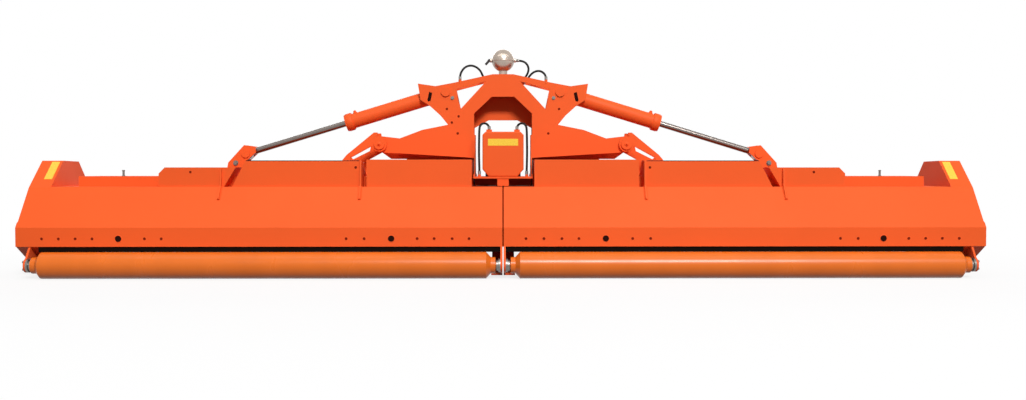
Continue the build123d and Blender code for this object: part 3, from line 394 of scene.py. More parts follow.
HOSES = {  # places across, in depth and in height in mm, from stud to stud
    "hose_cover_right": [
        (88, 295, 908.3), (88, 295, 928), (105, 291, 947), (130, 287, 948), (147, 282, 930), (150, 278, 900),
        (151, 275, 850), (152, 271, 765), (150.5, 267, 695), (149, 265, 651), (149, 265, 625.3),
    ],
    "hose_loop_right": [
        (83.8, 513, 1366.5), (120.7, 513, 1366.5), (153.5, 513, 1349.8), (169.1, 513, 1316.4),
        (161.4, 513, 1280.4), (139.7, 513, 1250.6), (120.6, 513, 1233.2),
    ],
    "hose_arch_left": [
        (-110.6, 513, 1244.2), (-132.8, 513, 1264.4), (-142, 505, 1292), (-168, 490, 1320),
        (-208, 474, 1333), (-247, 460, 1319), (-270, 450, 1288), (-278, 445, 1260), (-278, 445, 1236.3),
    ],
    "hose_arch_right": [
        (134.6, 480, 1217.8), (156.8, 480, 1238), (176, 474, 1268), (202, 465, 1290), (236, 456, 1296),
        (264, 449, 1281), (278, 445, 1257), (278, 445, 1236.3),
    ],
}
HOSES["hose_cover_left"] = [(-x, depth, z) for x, depth, z in HOSES["hose_cover_right"]]
FERRULE = [  # swaged collar with two grooves: distance from the hose's end and radius in mm
    (0, 7.2), (0, 9), (3, 9.8), (7, 9.8), (8, 9.2), (10, 9.8), (14, 9.8), (15, 9.2), (17, 9.8), (20, 9.4), (21, 7.2),
]
HOSE_ROUNDNESS, HOSE_STEPS = 5, 12  # steps round a quarter of a hose, and along it between two places


class MULCHER_OT_hoses(bpy.types.Operator):
    """Lay the five hydraulic hoses, with a swaged collar on each end"""

    bl_idname = "mulcher.hoses"
    bl_label = "Lay the hoses"

    def execute(self, context):
        diameter = context.scene.mulcher_fittings.hose_diameter
        collars = bmesh.new()
        for name, places in HOSES.items():
            points = [at(*place) for place in places]
            curve = bpy.data.curves.new(name + "_line", "CURVE")
            curve.dimensions = "3D"
            curve.bevel_depth = diameter / 2
            curve.bevel_resolution = HOSE_ROUNDNESS
            curve.use_fill_caps = True
            spline = curve.splines.new("NURBS")
            spline.points.add(len(points) - 1)
            for point, place in zip(spline.points, points):
                point.co = (*place, 1)
            spline.order_u = 3
            spline.use_endpoint_u = True
            spline.resolution_u = HOSE_STEPS
            curve.materials.append(FINISHES["black_rubber"])
            hose = bpy.data.objects.new(name + "_rubber", curve)
            context.scene.collection.objects.link(hose)
            keep_piece(hose, "frame")
            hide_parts(name)
            turn(collars, points[0], points[1] - points[0], FERRULE)
            turn(collars, points[-1], points[-2] - points[-1], FERRULE)
        mesh_piece("hose_collars", collars, "frame", "bearing_steel")
        return {"FINISHED"}


def start_tree(name, inputs):
    """New geometry tree with named inputs, given as socket kinds and defaults."""
    tree = bpy.data.node_groups.new(name, "GeometryNodeTree")
    tree.interface.new_socket("Geometry", in_out="INPUT", socket_type="NodeSocketGeometry")
    for label, (kind, default) in inputs.items():
        socket = tree.interface.new_socket(label, in_out="INPUT", socket_type=kind)
        if default is not None:
            socket.default_value = default
    tree.interface.new_socket("Geometry", in_out="OUTPUT", socket_type="NodeSocketGeometry")
    return tree, add_node(tree, "NodeGroupInput")


def end_tree(tree, given, points, item, scale=None):
    """Set an item on each point, turned as the point faces and scaled, by default by its size, and make it real."""
    if scale is None:
        size = add_node(tree, "GeometryNodeInputNamedAttribute", {"data_type": "FLOAT"}, {"Name": "size"})
        scale = size.outputs["Attribute"]
    facing = add_node(tree, "GeometryNodeInputNamedAttribute", {"data_type": "FLOAT_VECTOR"}, {"Name": "facing"})
    aim = add_node(tree, "FunctionNodeAlignRotationToVector", {"axis": "Z"}, {
        "Vector": facing.outputs["Attribute"]})
    placed = add_node(tree, "GeometryNodeInstanceOnPoints", inputs={
        "Points": points, "Instance": item, "Rotation": aim.outputs["Rotation"], "Scale": scale})
    real = add_node(tree, "GeometryNodeRealizeInstances", inputs={"Geometry": placed.outputs["Instances"]})
    finish = add_node(tree, "GeometryNodeSetMaterial", inputs={
        "Geometry": real.outputs["Geometry"], "Material": given.outputs["Finish"]})
    add_node(tree, "NodeGroupOutput", inputs={"Geometry": finish.outputs["Geometry"]})
    return tree


CROWN_SHARE, CAP_SHARE = 0.46, 1.15  # crown's radius as a share across flats, and its height as one of the head
WASHER_SIDES, HEAD_SIDES, CROWN_SIDES = 16, 6, 12
HOLE_SIDES = 24
PLUG_SHARE, RIM_SHARE, RIM_PLACE = 0.1, 0.1, 1.08  # plug's thickness, rim's half width and place, in hole radii
BEAD_LEAST, BEAD_MOST = 0.82, 1.12  # shares of a weld's width
WELD_SEED = 7


def bolt_tree():
    """Hexagon bolts with washers, one on each point, scaled by the point's size."""
    tree, given = start_tree("bolts", {
        "Across flats": ("NodeSocketFloat", 0.019), "Head height": ("NodeSocketFloat", 0.009),
        "Washer diameter": ("NodeSocketFloat", 0.028), "Washer thickness": ("NodeSocketFloat", 0.0025),
        "Finish": ("NodeSocketMaterial", None)})
    across, head = given.outputs["Across flats"], given.outputs["Head height"]
    washer, lift = given.outputs["Washer diameter"], given.outputs["Washer thickness"]
    shares = []
    for length, share in ((washer, 0.5), (across, 1 / 3 ** 0.5), (across, CROWN_SHARE), (head, CAP_SHARE)):
        product = add_node(tree, "ShaderNodeMath", {"operation": "MULTIPLY"}, {0: length, 1: share})
        shares.append(product.outputs["Value"])
    disc, corner, crown, cap = shares
    whole = add_node(tree, "GeometryNodeJoinGeometry")
    for sides, radius, height, foot in (
        (WASHER_SIDES, disc, lift, None), (HEAD_SIDES, corner, head, lift), (CROWN_SIDES, crown, cap, lift),
    ):
        drum = add_node(tree, "GeometryNodeMeshCylinder", inputs={
            "Vertices": sides, "Radius": radius, "Depth": height})
        half = add_node(tree, "ShaderNodeMath", {"operation": "MULTIPLY"}, {0: height, 1: 0.5})
        raised = half.outputs["Value"]
        if foot:
            raised = add_node(tree, "ShaderNodeMath", {"operation": "ADD"}, {0: raised, 1: foot}).outputs["Value"]
        offset = add_node(tree, "ShaderNodeCombineXYZ", inputs={"Z": raised})
        moved = add_node(tree, "GeometryNodeTransform", inputs={
            "Geometry": drum.outputs["Mesh"], "Translation": offset.outputs["Vector"]})
        tree.links.new(moved.outputs["Geometry"], whole.inputs["Geometry"])
    return end_tree(tree, given, given.outputs["Geometry"], whole.outputs["Geometry"])


def hole_tree():
    """Round holes, one on each point, with the point's size as radius, each filled with a thin plug whose dark finish
    is painted shadow.
    """
    tree, given = start_tree("holes", {"Finish": ("NodeSocketMaterial", None)})
    plug = add_node(tree, "GeometryNodeMeshCylinder", inputs={
        "Vertices": HOLE_SIDES, "Radius": 1.0, "Depth": PLUG_SHARE})
    return end_tree(tree, given, given.outputs["Geometry"], plug.outputs["Mesh"])


def rim_tree():
    """Rolled rims round holes, one on each point, with the point's size as radius."""
    tree, given = start_tree("rims", {"Rim": ("NodeSocketFloat", RIM_SHARE), "Finish": ("NodeSocketMaterial", None)})
    ring = add_node(tree, "GeometryNodeCurvePrimitiveCircle", inputs={
        "Resolution": HOLE_SIDES, "Radius": RIM_PLACE})
    edge = add_node(tree, "GeometryNodeCurvePrimitiveCircle", inputs={
        "Resolution": 6, "Radius": given.outputs["Rim"]})
    tube = add_node(tree, "GeometryNodeCurveToMesh", inputs={
        "Curve": ring.outputs["Curve"], "Profile Curve": edge.outputs["Curve"]})
    return end_tree(tree, given, given.outputs["Geometry"], tube.outputs["Mesh"])


def weld_tree():
    """Rippled fillet welds along lines, with beads that vary a little in size."""
    tree, given = start_tree("welds", {
        "Pitch": ("NodeSocketFloat", 0.005), "Width": ("NodeSocketFloat", 0.009),
        "Seed": ("NodeSocketInt", WELD_SEED), "Finish": ("NodeSocketMaterial", None)})
    line = add_node(tree, "GeometryNodeMeshToCurve", inputs={"Mesh": given.outputs["Geometry"]})
    spread = add_node(tree, "GeometryNodeResampleCurve", {"mode": "LENGTH"}, {
        "Curve": line.outputs["Curve"], "Length": given.outputs["Pitch"]})
    half = add_node(tree, "ShaderNodeMath", {"operation": "MULTIPLY"}, {0: given.outputs["Width"], 1: 0.5})
    bead = add_node(tree, "GeometryNodeMeshUVSphere", inputs={
        "Segments": 8, "Rings": 5, "Radius": half.outputs["Value"]})
    vary = add_node(tree, "FunctionNodeRandomValue", {"data_type": "FLOAT"}, {
        2: BEAD_LEAST, 3: BEAD_MOST, "Seed": given.outputs["Seed"]})
    return end_tree(tree, given, spread.outputs["Curve"], bead.outputs["Mesh"], vary.outputs[1])


def grow(name, tree, spots, body, sizes, finish, lines=()):
    """Run a geometry tree on spots, given as place, facing and size, and keep its result as a plain mesh."""
    seed = bpy.data.meshes.new(name + "_spots")
    seed.from_pydata([place for place, facing, size in spots], lines, [])
    seed.attributes.new("facing", "FLOAT_VECTOR", "POINT")
    seed.attributes.new("size", "FLOAT", "POINT")
    for index, (place, facing, size) in enumerate(spots):
        seed.attributes["facing"].data[index].vector = facing
        seed.attributes["size"].data[index].value = size
    piece = bpy.data.objects.new(name, seed)
    modifier = piece.modifiers.new("grow", "NODES")
    modifier.node_group = tree
    values = {**sizes, "Finish": FINISHES[finish]}
    for item in tree.interface.items_tree:
        if item.in_out == "INPUT" and item.name in values:
            modifier[item.identifier] = values[item.name]
    bpy.context.scene.collection.objects.link(piece)
    ready = piece.evaluated_get(bpy.context.evaluated_depsgraph_get())
    plain = bpy.data.meshes.new_from_object(ready)
    piece.modifiers.clear()
    piece.data = plain
    return keep_piece(piece, body)


SMALL_HOLES = {  # places across in mm along the strip at the hood's bottom
    "left": [-2782, -2681, -2580, -2479, -2164, -2063, -949, -840, -520, -417, -308, -206],
    "right": [139, 248, 357, 460, 786, 895, 2050, 2158, 2467, 2570, 2672, 2775],
}
LARGE_HOLES = {"left": [-2322, -677], "right": [623, 2313]}
STRIP_HOLE_Z = 238
TOWER_HOLES = [(293, 889), (363, 1047), (-293, 889), (-363, 1047), (-331, 959), (-287, 999)]  # across and up in mm
COVER_HOLES = [(917, 669), (1943, 640)]  # across and up in mm
COVER_FACE_DEPTH = 190
PANEL_HOLE_RADIUS = 8
PLUG_PROUD = 0.3  # mm from a plate to the middle of a hole's plug


class MULCHER_OT_holes(bpy.types.Operator):
    """Mark the row of holes in each hood's strip and the small holes of the covers and the tower"""

    bl_idname = "mulcher.holes"
    bl_label = "Mark the holes"

    def execute(self, context):
        sizes = context.scene.mulcher_fittings
        holes, rims = hole_tree(), rim_tree()
        panel_radius = PANEL_HOLE_RADIUS * MM
        for side, sign in SIDES.items():
            body = "wing_" + side
            # Every hole is a thin plug in a dark finish: painted shadow
            small = [(at(x, -PLUG_PROUD, STRIP_HOLE_Z), BACK, sizes.hole_diameter / 2) for x in SMALL_HOLES[side]]
            large = [(at(x, -PLUG_PROUD, STRIP_HOLE_Z), BACK, sizes.port_diameter / 2) for x in LARGE_HOLES[side]]
            cover = [(at(sign * x, COVER_FACE_DEPTH - PLUG_PROUD, z), BACK, panel_radius) for x, z in COVER_HOLES]
            grow("small_holes_" + side, holes, small, body, {}, "dimple")
            grow("large_holes_" + side, holes, large, body, {}, "hole")
            grow("strip_rims_" + side, rims, small + large, body, {"Rim": RIM_SHARE}, "orange_paint")
            grow("cover_holes_" + side, holes, cover, body, {}, "dimple")
        tower = [(at(x, TOWER_DEPTH - PLUG_PROUD, z), BACK, panel_radius) for x, z in TOWER_HOLES]
        grow("tower_holes", holes, tower, "frame", {}, "dimple")
        return {"FINISHED"}


def ring_of(centre, way, radius, count, start=0.0):
    """Places on a circle round a centre, square to a way, with its radius in mm."""
    spin = Vector(way).to_track_quat("Z", "Y")
    places = []
    for step in range(count):
        angle = start + 2 * pi * step / count
        places.append(centre + spin @ Vector((cos(angle), sin(angle), 0)) * radius * MM)
    return places


GUARD_BOLTS = [  # depth and height in mm of the bolts round the belt guard's outer face
    (45, 215), (45, 290), (120, 420), (230, 560), (385, 680), (590, 676), (690, 590), (790, 440), (790, 240),
    (690, 150), (420, 145), (150, 145),
]
FRONT_BOLTS = range(150, 2700, 300)  # places across in mm along the hood's front
FRONT_DEPTH, FRONT_Z = 850, 365
EAR_BOLT = (1734, 466, 698)  # across, in depth and in height in mm
MOUNT_BOLT_X, MOUNT_BOLT_Z = 327, 1118
ARM_FACE, ARM_RING, ARM_COUNT = 2864, 31, 4  # roller arm's bearing: place across, bolt circle and bolts
PTO_FACE, PTO_RING, PTO_COUNT = 725, 52, 8  # gearbox input: depth, bolt circle and bolts
BOSS_FACE, BOSS_RING, BOSS_COUNT = 122, 70, 6  # gearbox outputs: place across, bolt circle and bolts
BOLT_SIZES = {  # shares of a plain bolt
    "guard": 0.7, "front": 0.9, "arm": 0.75, "ear": 1.2, "gearbox": 0.7, "mount": 0.85,
}


class MULCHER_OT_bolts(bpy.types.Operator):
    """Set the hexagon bolts with their washers"""

    bl_idname = "mulcher.bolts"
    bl_label = "Set the bolts"

    def execute(self, context):
        tree = bolt_tree()
        sizes = context.scene.mulcher_fittings
        values = {
            "Across flats": sizes.bolt_across, "Head height": sizes.bolt_height,
            "Washer diameter": sizes.washer_diameter, "Washer thickness": sizes.washer_thickness,
        }
        painted = [(at(GUARD_FACE / MM, depth, z), OUT, BOLT_SIZES["guard"]) for depth, z in GUARD_BOLTS]
        painted += [(at(x, FRONT_DEPTH, FRONT_Z), AHEAD, BOLT_SIZES["front"]) for x in FRONT_BOLTS]
        arm = Vector((ARM_FACE * MM, ROLLER_AXIS.y, ROLLER_AXIS.z))
        plated = [(place, OUT, BOLT_SIZES["arm"]) for place in ring_of(arm, OUT, ARM_RING, ARM_COUNT, pi / ARM_COUNT)]
        plated.append((at(*EAR_BOLT), BACK, BOLT_SIZES["ear"]))
        for side, sign in SIDES.items():
            for name, spots, slot in (("painted", painted, "orange_paint"), ("plated", plated, "bearing_steel")):
                handed = [(to_side(place, sign), to_side(facing, sign), size) for place, facing, size in spots]
                grow(f"{name}_bolts_{side}", tree, handed, "wing_" + side, values, slot)
        small = BOLT_SIZES["gearbox"]
        shaft = Vector((0, STRIP_Y + PTO_FACE * MM, (SHAFT_LOW.z + SHAFT_HIGH.z) / 2))
        casting = [(place, AHEAD, small) for place in ring_of(shaft, AHEAD, PTO_RING, PTO_COUNT, pi / PTO_COUNT)]
        for sign in SIDES.values():
            boss = Vector((sign * BOSS_FACE * MM, (GEAR_LOW.y + GEAR_HIGH.y) / 2, shaft.z))
            casting += [(place, OUT * sign, small) for place in ring_of(boss, OUT, BOSS_RING, BOSS_COUNT)]
        grow("gearbox_bolts", tree, casting, "frame", values, "bearing_steel")
        mounts = [(at(sign * MOUNT_BOLT_X, TOWER_DEPTH, MOUNT_BOLT_Z), BACK, BOLT_SIZES["mount"])
                  for sign in SIDES.values()]
        grow("mount_bolts", tree, mounts, "frame", values, "bearing_steel")
        return {"FINISHED"}


COVER_STRIP = [(-95, 806), (95, 806), (95, 849), (-95, 849)]  # across and up in mm
GUARD_STRIP_INNER, GUARD_STRIP_OUTER = 2822, 2872
GUARD_STRIP_FOOT, GUARD_STRIP_HEAD = (240, 595.4), (362, 704.8)  # depth and height in mm


class MULCHER_OT_film(bpy.types.Operator):
    """Stick the plain yellow strips on the gearbox cover and the belt guards"""

    bl_idname = "mulcher.film"
    bl_label = "Stick the yellow strips"

    def execute(self, context):
        gauge = context.scene.mulcher_fittings.strip_gauge
        shape = bmesh.new()
        plate(shape, [at(x, COVER_DEPTH, z) for x, z in COVER_STRIP], BACK, gauge, gauge / 3)
        mesh_piece("cover_strip", shape, "frame", "orange_paint", "film")
        rise = at(0, *GUARD_STRIP_HEAD) - at(0, *GUARD_STRIP_FOOT)
        facing = rise.normalized().cross(-OUT)
        for side, sign in SIDES.items():
            inner, outer = sign * GUARD_STRIP_INNER, sign * GUARD_STRIP_OUTER
            corners = [at(inner, *GUARD_STRIP_FOOT), at(outer, *GUARD_STRIP_FOOT),
                       at(outer, *GUARD_STRIP_HEAD), at(inner, *GUARD_STRIP_HEAD)]
            shape = bmesh.new()
            plate(shape, corners, facing, gauge, gauge / 3)
            mesh_piece("guard_strip_" + side, shape, "wing_" + side, "orange_paint", "film")
        return {"FINISHED"}


# Black strips along the tops of the covers, laid where shadow lines run: painted shade
COVER_SHADE_LIPS = [  # start and end across, near and far depth, foot, height and rounding in mm
    (200, 640, 616, 624, 717.5, 9.5, 2.0),
    (896, 1600, 192, 201, 707.5, 5.0, 1.5),
]
# Dark plate in the hole finish over each mount's slot: painted shadow of the slot's inside
MOUNT_SLOT = [(457, 1150), (477, 1158), (489, 1104), (484, 1094), (468, 1098)]  # across and up in mm
SLOT_GAUGE = 0.6
# Black sheet across the front behind the gearbox, dark where the space under the cradle and beside the legs lies in
# shade: painted shade
FLAP = [(206, 524), (206, 738), (188, 738), (188, 606), (176, 596)]  # half outline across and up in mm
FLAP_DEPTH, FLAP_GAUGE, FLAP_BEVEL = 892, 8, 1.5


class MULCHER_OT_seals(bpy.types.Operator):
    """Lay black rubber strips of painted shade along the cover tops and a black sheet of painted shade across the
    front behind the gearbox, and mark the slot in each cylinder mount with a dark plate of painted shadow
    """

    bl_idname = "mulcher.seals"
    bl_label = "Fit the seals"

    def execute(self, context):
        slots = bmesh.new()
        for side, sign in SIDES.items():
            shape = bmesh.new()
            for start, end, near, far, foot, height, bevel in COVER_SHADE_LIPS:
                outline = ((start, near), (end, near), (end, far), (start, far))
                plate(shape, [at(sign * x, depth, foot) for x, depth in outline], UP, height * MM, bevel * MM)
            mesh_piece("cover_lips_" + side, shape, "wing_" + side, "black_rubber")
            plate(slots, [at(sign * x, TOWER_DEPTH, z) for x, z in MOUNT_SLOT], BACK, SLOT_GAUGE * MM)
        mesh_piece("mount_slots", slots, "frame", "rotor_paint", "hole")
        flap = bmesh.new()
        outline = FLAP + [(-x, z) for x, z in reversed(FLAP)]
        plate(flap, [at(x, FLAP_DEPTH, z) for x, z in outline], BACK, FLAP_GAUGE * MM, FLAP_BEVEL * MM)
        mesh_piece("stone_flap", flap, "frame", "black_rubber")
        return {"FINISHED"}


BEAM_WELD_INSET, BEAM_WELD_Z = 20, 549
EAR_WELD_DEPTHS, EAR_WELD_Z = (414, 612), 614
EAR_WELD_START, EAR_WELD_END = 30, 10  # mm in from the inner and outer ends of the hinge ears
GUSSET_SIDES = [878, 892, 1744, 1758]
GUSSET_FOOT, GUSSET_HEAD = (120, 472), (174, 547)  # depth and height in mm
NECK_RING, NECK_STEPS, NECK_RISE = 27, 24, 2  # round the sphere's neck: radius in mm, steps and mm above its foot


def weld_lines(lines):
    """Spots and edges of a set of weld lines, each a list of places."""
    spots, edges = [], []
    for line in lines:
        start = len(spots)
        spots += [(place, UP, 1.0) for place in line]
        edges += [(start + step, start + step + 1) for step in range(len(line) - 1)]
    return spots, edges


class MULCHER_OT_welds(bpy.types.Operator):
    """Run the fillet welds along beams, ears and gussets, and round the sphere's neck"""

    bl_idname = "mulcher.welds"
    bl_label = "Run the welds"

    def execute(self, context):
        tree = weld_tree()
        sizes = context.scene.mulcher_fittings
        values = {"Pitch": sizes.weld_pitch, "Width": sizes.weld_width, "Seed": WELD_SEED}
        front = depth_of(BEAM_HIGH.y)
        start, end = BEAM_LOW.x / MM + BEAM_WELD_INSET, BEAM_HIGH.x / MM - BEAM_WELD_INSET
        wing = [[at(start, front, BEAM_WELD_Z), at(end, front, BEAM_WELD_Z)]]
        start, end = EAR_LOW.x / MM + EAR_WELD_START, EAR_HIGH.x / MM - EAR_WELD_END
        wing += [[at(start, depth, EAR_WELD_Z), at(end, depth, EAR_WELD_Z)] for depth in EAR_WELD_DEPTHS]
        wing += [[at(x, *GUSSET_FOOT), at(x, *GUSSET_HEAD)] for x in GUSSET_SIDES]
        for side, sign in SIDES.items():
            spots, edges = weld_lines([[to_side(place, sign) for place in line] for line in wing])
            grow("wing_welds_" + side, tree, spots, "wing_" + side, values, "orange_paint", edges)
        neck = Vector((0, (SPHERE_LOW.y + SPHERE_HIGH.y) / 2, SPHERE_LOW.z + NECK_RISE * MM))
        ring = ring_of(neck, UP, NECK_RING, NECK_STEPS)
        spots, edges = weld_lines([ring + ring[:1]])
        grow("neck_weld", tree, spots, "frame", values, "accumulator_grey", edges)
        return {"FINISHED"}


GLAND_START = 46  # mm from the gland's start to the barrel's end
GLAND = [  # distance along the gland, and radius beyond the barrel's end, in mm
    (0, -8), (0, 3), (2, 4), (34, 4), (36, 3), (36, 1), (42, 1), (44, -1),
]
GLAND_SIDES = 32
OIL_PORT = [  # boss, nut and stub of a port: distance and radius in mm
    (0, 14), (6, 14), (8, 12), (8, 9.5), (16, 9.5), (17, 8.5), (17, 5), (20, 5), (20, 0),
]
PORT_SIDES, PORT_SINK = 12, 3
BASE_PORT, HEAD_PORT = 0.095, 0.075  # metres from the base pin and from the barrel's end
END_RING = 0.002  # metres of the barrel's end that show its radius


def end_of(node, foot, way):
    """Furthest distance of a node along an axis, and its radius there."""
    places = [vertex.co for vertex in frame["nodes"][node].data.vertices]
    reach = max((place - foot).dot(way) for place in places)
    end = [place - foot for place in places if (place - foot).dot(way) > reach - END_RING]
    return reach, max((place - way * place.dot(way)).length for place in end)


def wall_place(node, inside, way):
    """Place on a node's outer wall, found by a ray cast inwards from beyond it."""
    return frame["nodes"][node].ray_cast(inside + way, -way)[1]


class MULCHER_OT_cylinders(bpy.types.Operator):
    """Fit the gland and the oil ports of the folding cylinders"""

    bl_idname = "mulcher.cylinders"
    bl_label = "Fit the cylinders"

    def execute(self, context):
        for side, sign in SIDES.items():
            barrel = "barrel_" + side
            foot, way = to_side(BASE_PIN, sign), to_side(CYLINDER_WAY, sign)
            reach, radius = end_of(barrel, foot, way)
            shape = bmesh.new()
            profile = [(distance, radius / MM + beyond) for distance, beyond in GLAND]
            turn(shape, foot + way * (reach - GLAND_START * MM), way, profile, GLAND_SIDES)
            lift = (UP - way * UP.dot(way)).normalized()
            for distance in (BASE_PORT, reach - HEAD_PORT):
                port = wall_place(barrel, foot + way * distance, lift) - lift * PORT_SINK * MM
                turn(shape, port, lift, OIL_PORT, PORT_SIDES)
            mesh_piece("barrel_fittings_" + side, shape, barrel, "orange_paint")
        return {"FINISHED"}


# Turned fittings: distances along the axis and radii in mm
NIPPLE = [(0, 14), (2.5, 14), (3.5, 12.5), (3.5, 6.5), (8, 6.5), (8.5, 4), (12, 4), (13, 4.6), (15, 3.6), (16, 0)]
LYNCH_HEAD = [(0, 6), (10, 6), (12, 9), (20, 9), (22, 7), (22, 0)]
LYNCH_TAIL = [(0, 6), (14, 6), (17, 4), (17, 0)]
STOP_PIN = [(0, 11), (4, 11), (5, 7), (32, 7), (33, 9), (38, 9), (40, 7), (40, 0)]
SEAM = [(0, -1), (1, 0.8), (3, 2), (7, 2), (9, 0.8), (10, -1)]  # with radii beyond the sphere
ELBOW_NUT = [(0, 11), (14, 11), (16, 9), (16, 0)]
ELBOW_TAIL = [(0, 9), (8, 9), (9, 8), (34, 8), (36, 6), (36, 0)]
NIPPLE_SIDES, PIN_SIDES, SEAM_SIDES, NUT_SIDES = 18, 16, 64, 6
LYNCH_INSET, LYNCH_SINK = 22, 2
STOP_PIN_PLACE = (2409, 330, 613)  # across, in depth and in height in mm
SEAM_HALF = 5
STUD_OVERLAP, ELBOW_START, ELBOW_WAY = 3, 10, Vector((-0.66, 0, -0.75))


class MULCHER_OT_pins(bpy.types.Operator):
    """Fit the grease nipples of the hinges, the lynch pins, the stop pins, and the sphere's seam and elbow"""

    bl_idname = "mulcher.pins"
    bl_label = "Fit the pins"

    def execute(self, context):
        shape = bmesh.new()
        for sign in SIDES.values():
            hinge = to_side(HINGE, sign)
            turn(shape, Vector((hinge.x, PIVOT_LOW.y, hinge.z)), BACK, NIPPLE, NIPPLE_SIDES)
            turn(shape, Vector((hinge.x, PIVOT_HIGH.y, hinge.z)), AHEAD, NIPPLE, NIPPLE_SIDES)
        mesh_piece("hinge_nipples", shape, "frame", "orange_paint")
        shape = bmesh.new()
        middle = (LINK_LOW + LINK_HIGH) / 2
        lift = UP * ((LINK_HIGH.z - LINK_LOW.z) / 2 - LYNCH_SINK * MM)
        for sign in SIDES.values():
            place = Vector((sign * (LINK_HIGH.x - LYNCH_INSET * MM), middle.y, middle.z))
            turn(shape, place + lift, UP, LYNCH_HEAD, PIN_SIDES)
            turn(shape, place - lift, -UP, LYNCH_TAIL, PIN_SIDES)
        mesh_piece("pin_fittings", shape, "frame", "bearing_steel")
        for side, sign in SIDES.items():
            shape = bmesh.new()
            turn(shape, to_side(at(*STOP_PIN_PLACE), sign), UP, STOP_PIN, PIN_SIDES)
            mesh_piece("stop_pin_" + side, shape, "wing_" + side, "bearing_steel")
        radius = (SPHERE_HIGH.y - SPHERE_LOW.y) / 2
        centre = Vector((0, (SPHERE_LOW.y + SPHERE_HIGH.y) / 2, SPHERE_HIGH.z - radius))
        shape = bmesh.new()
        seam = [(distance, radius / MM + beyond) for distance, beyond in SEAM]
        turn(shape, centre - UP * SEAM_HALF * MM, UP, seam, SEAM_SIDES)
        mesh_piece("sphere_seam", shape, "frame", "accumulator_grey")
        shape = bmesh.new()
        stud = at(SPHERE_LOW.x / MM + STUD_OVERLAP, *HOSES["hose_loop_right"][0][1:])
        turn(shape, stud, -OUT, ELBOW_NUT, NUT_SIDES)
        turn(shape, stud - OUT * ELBOW_START * MM, ELBOW_WAY, ELBOW_TAIL, PIN_SIDES)
        mesh_piece("sphere_elbow", shape, "frame", "rotor_paint")
        return {"FINISHED"}


SPLINES, SPLINE_ROOT = 6, 0.82  # count, and root radius as a share of the outer radius
SPLINE_STEPS = [(0.0, "root"), (0.24, "root"), (0.27, "outer"), (0.73, "outer"), (0.76, "root")]  # shares of a pitch
SHAFT_STATIONS = [  # share of the length, and of the section, with a groove for the coupling's lock
    (0.0, 1.0), (0.62, 1.0), (0.63, 0.8), (0.72, 0.8), (0.73, 1.0), (0.96, 1.0), (1.0, 0.86),
]


class MULCHER_OT_shaft(bpy.types.Operator):
    """Cut the six splines of the drive shaft's stub"""

    bl_idname = "mulcher.shaft"
    bl_label = "Cut the splines"

    def execute(self, context):
        middle = (SHAFT_LOW + SHAFT_HIGH) / 2
        outer = (SHAFT_HIGH.z - SHAFT_LOW.z) / 2
        radii = {"outer": outer, "root": outer * SPLINE_ROOT}
        section = []
        for tooth in range(SPLINES):
            for share, level in SPLINE_STEPS:
                angle = 2 * pi * (tooth + share) / SPLINES
                section.append((cos(angle) * radii[level], sin(angle) * radii[level]))
        shape = bmesh.new()
        rings = []
        for share, scale in SHAFT_STATIONS:
            y = SHAFT_LOW.y + (SHAFT_HIGH.y - SHAFT_LOW.y) * share
            rings.append([shape.verts.new((middle.x + u * scale, y, middle.z + v * scale)) for u, v in section])
        for lower, upper in zip(rings, rings[1:]):
            for step in range(len(section)):
                after = (step + 1) % len(section)
                shape.faces.new([lower[step], lower[after], upper[after], upper[step]])
        shape.faces.new(rings[0])
        shape.faces.new(rings[-1])
        shaft = mesh_piece("splined_shaft", shape, "frame", "bearing_steel")
        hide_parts("pto_shaft")
        return {"FINISHED"}


def seen_ray(tree):
    """One where a ray shows the background itself: to the camera, in a mirror or through glass."""
    path = add_node(tree, "ShaderNodeLightPath")
    seen = path.outputs["Is Camera Ray"]
    for name in ("Is Glossy Ray", "Is Transmission Ray"):
        either = add_node(tree, "ShaderNodeMath", {"operation": "MAXIMUM"}, {0: seen, 1: path.outputs[name]})
        seen = either.outputs["Value"]
    return seen


SENSOR_WIDTH, FAR_CLIP = 36, 200
SKY_LIGHT, SKY_SEEN = 0.22, 1.0
LAMP_AIM = Vector((0, 0, 0.5))
LAMPS = [  # name, place, size across and up in metres, and power in watts
    ("softbox_rear", (4.4, STRIP_Y - 20.0, 16.0), 9.0, 4.4, 6600),
    ("softbox_top", (0, STRIP_Y - 1.2, 4.6), 8.0, 0.8, 45),
    ("softbox_front", (0, 6.5, 3.4), 8.0, 2.0, 220),
]
FLOOR_REACH, FLOOR_DROP = 40, 0.001
FLOOR_FADE_START, FLOOR_FADE_END, FLOOR_LIFT = 2.6, 4.4, 0.8  # distances in metres, and lift near the machine


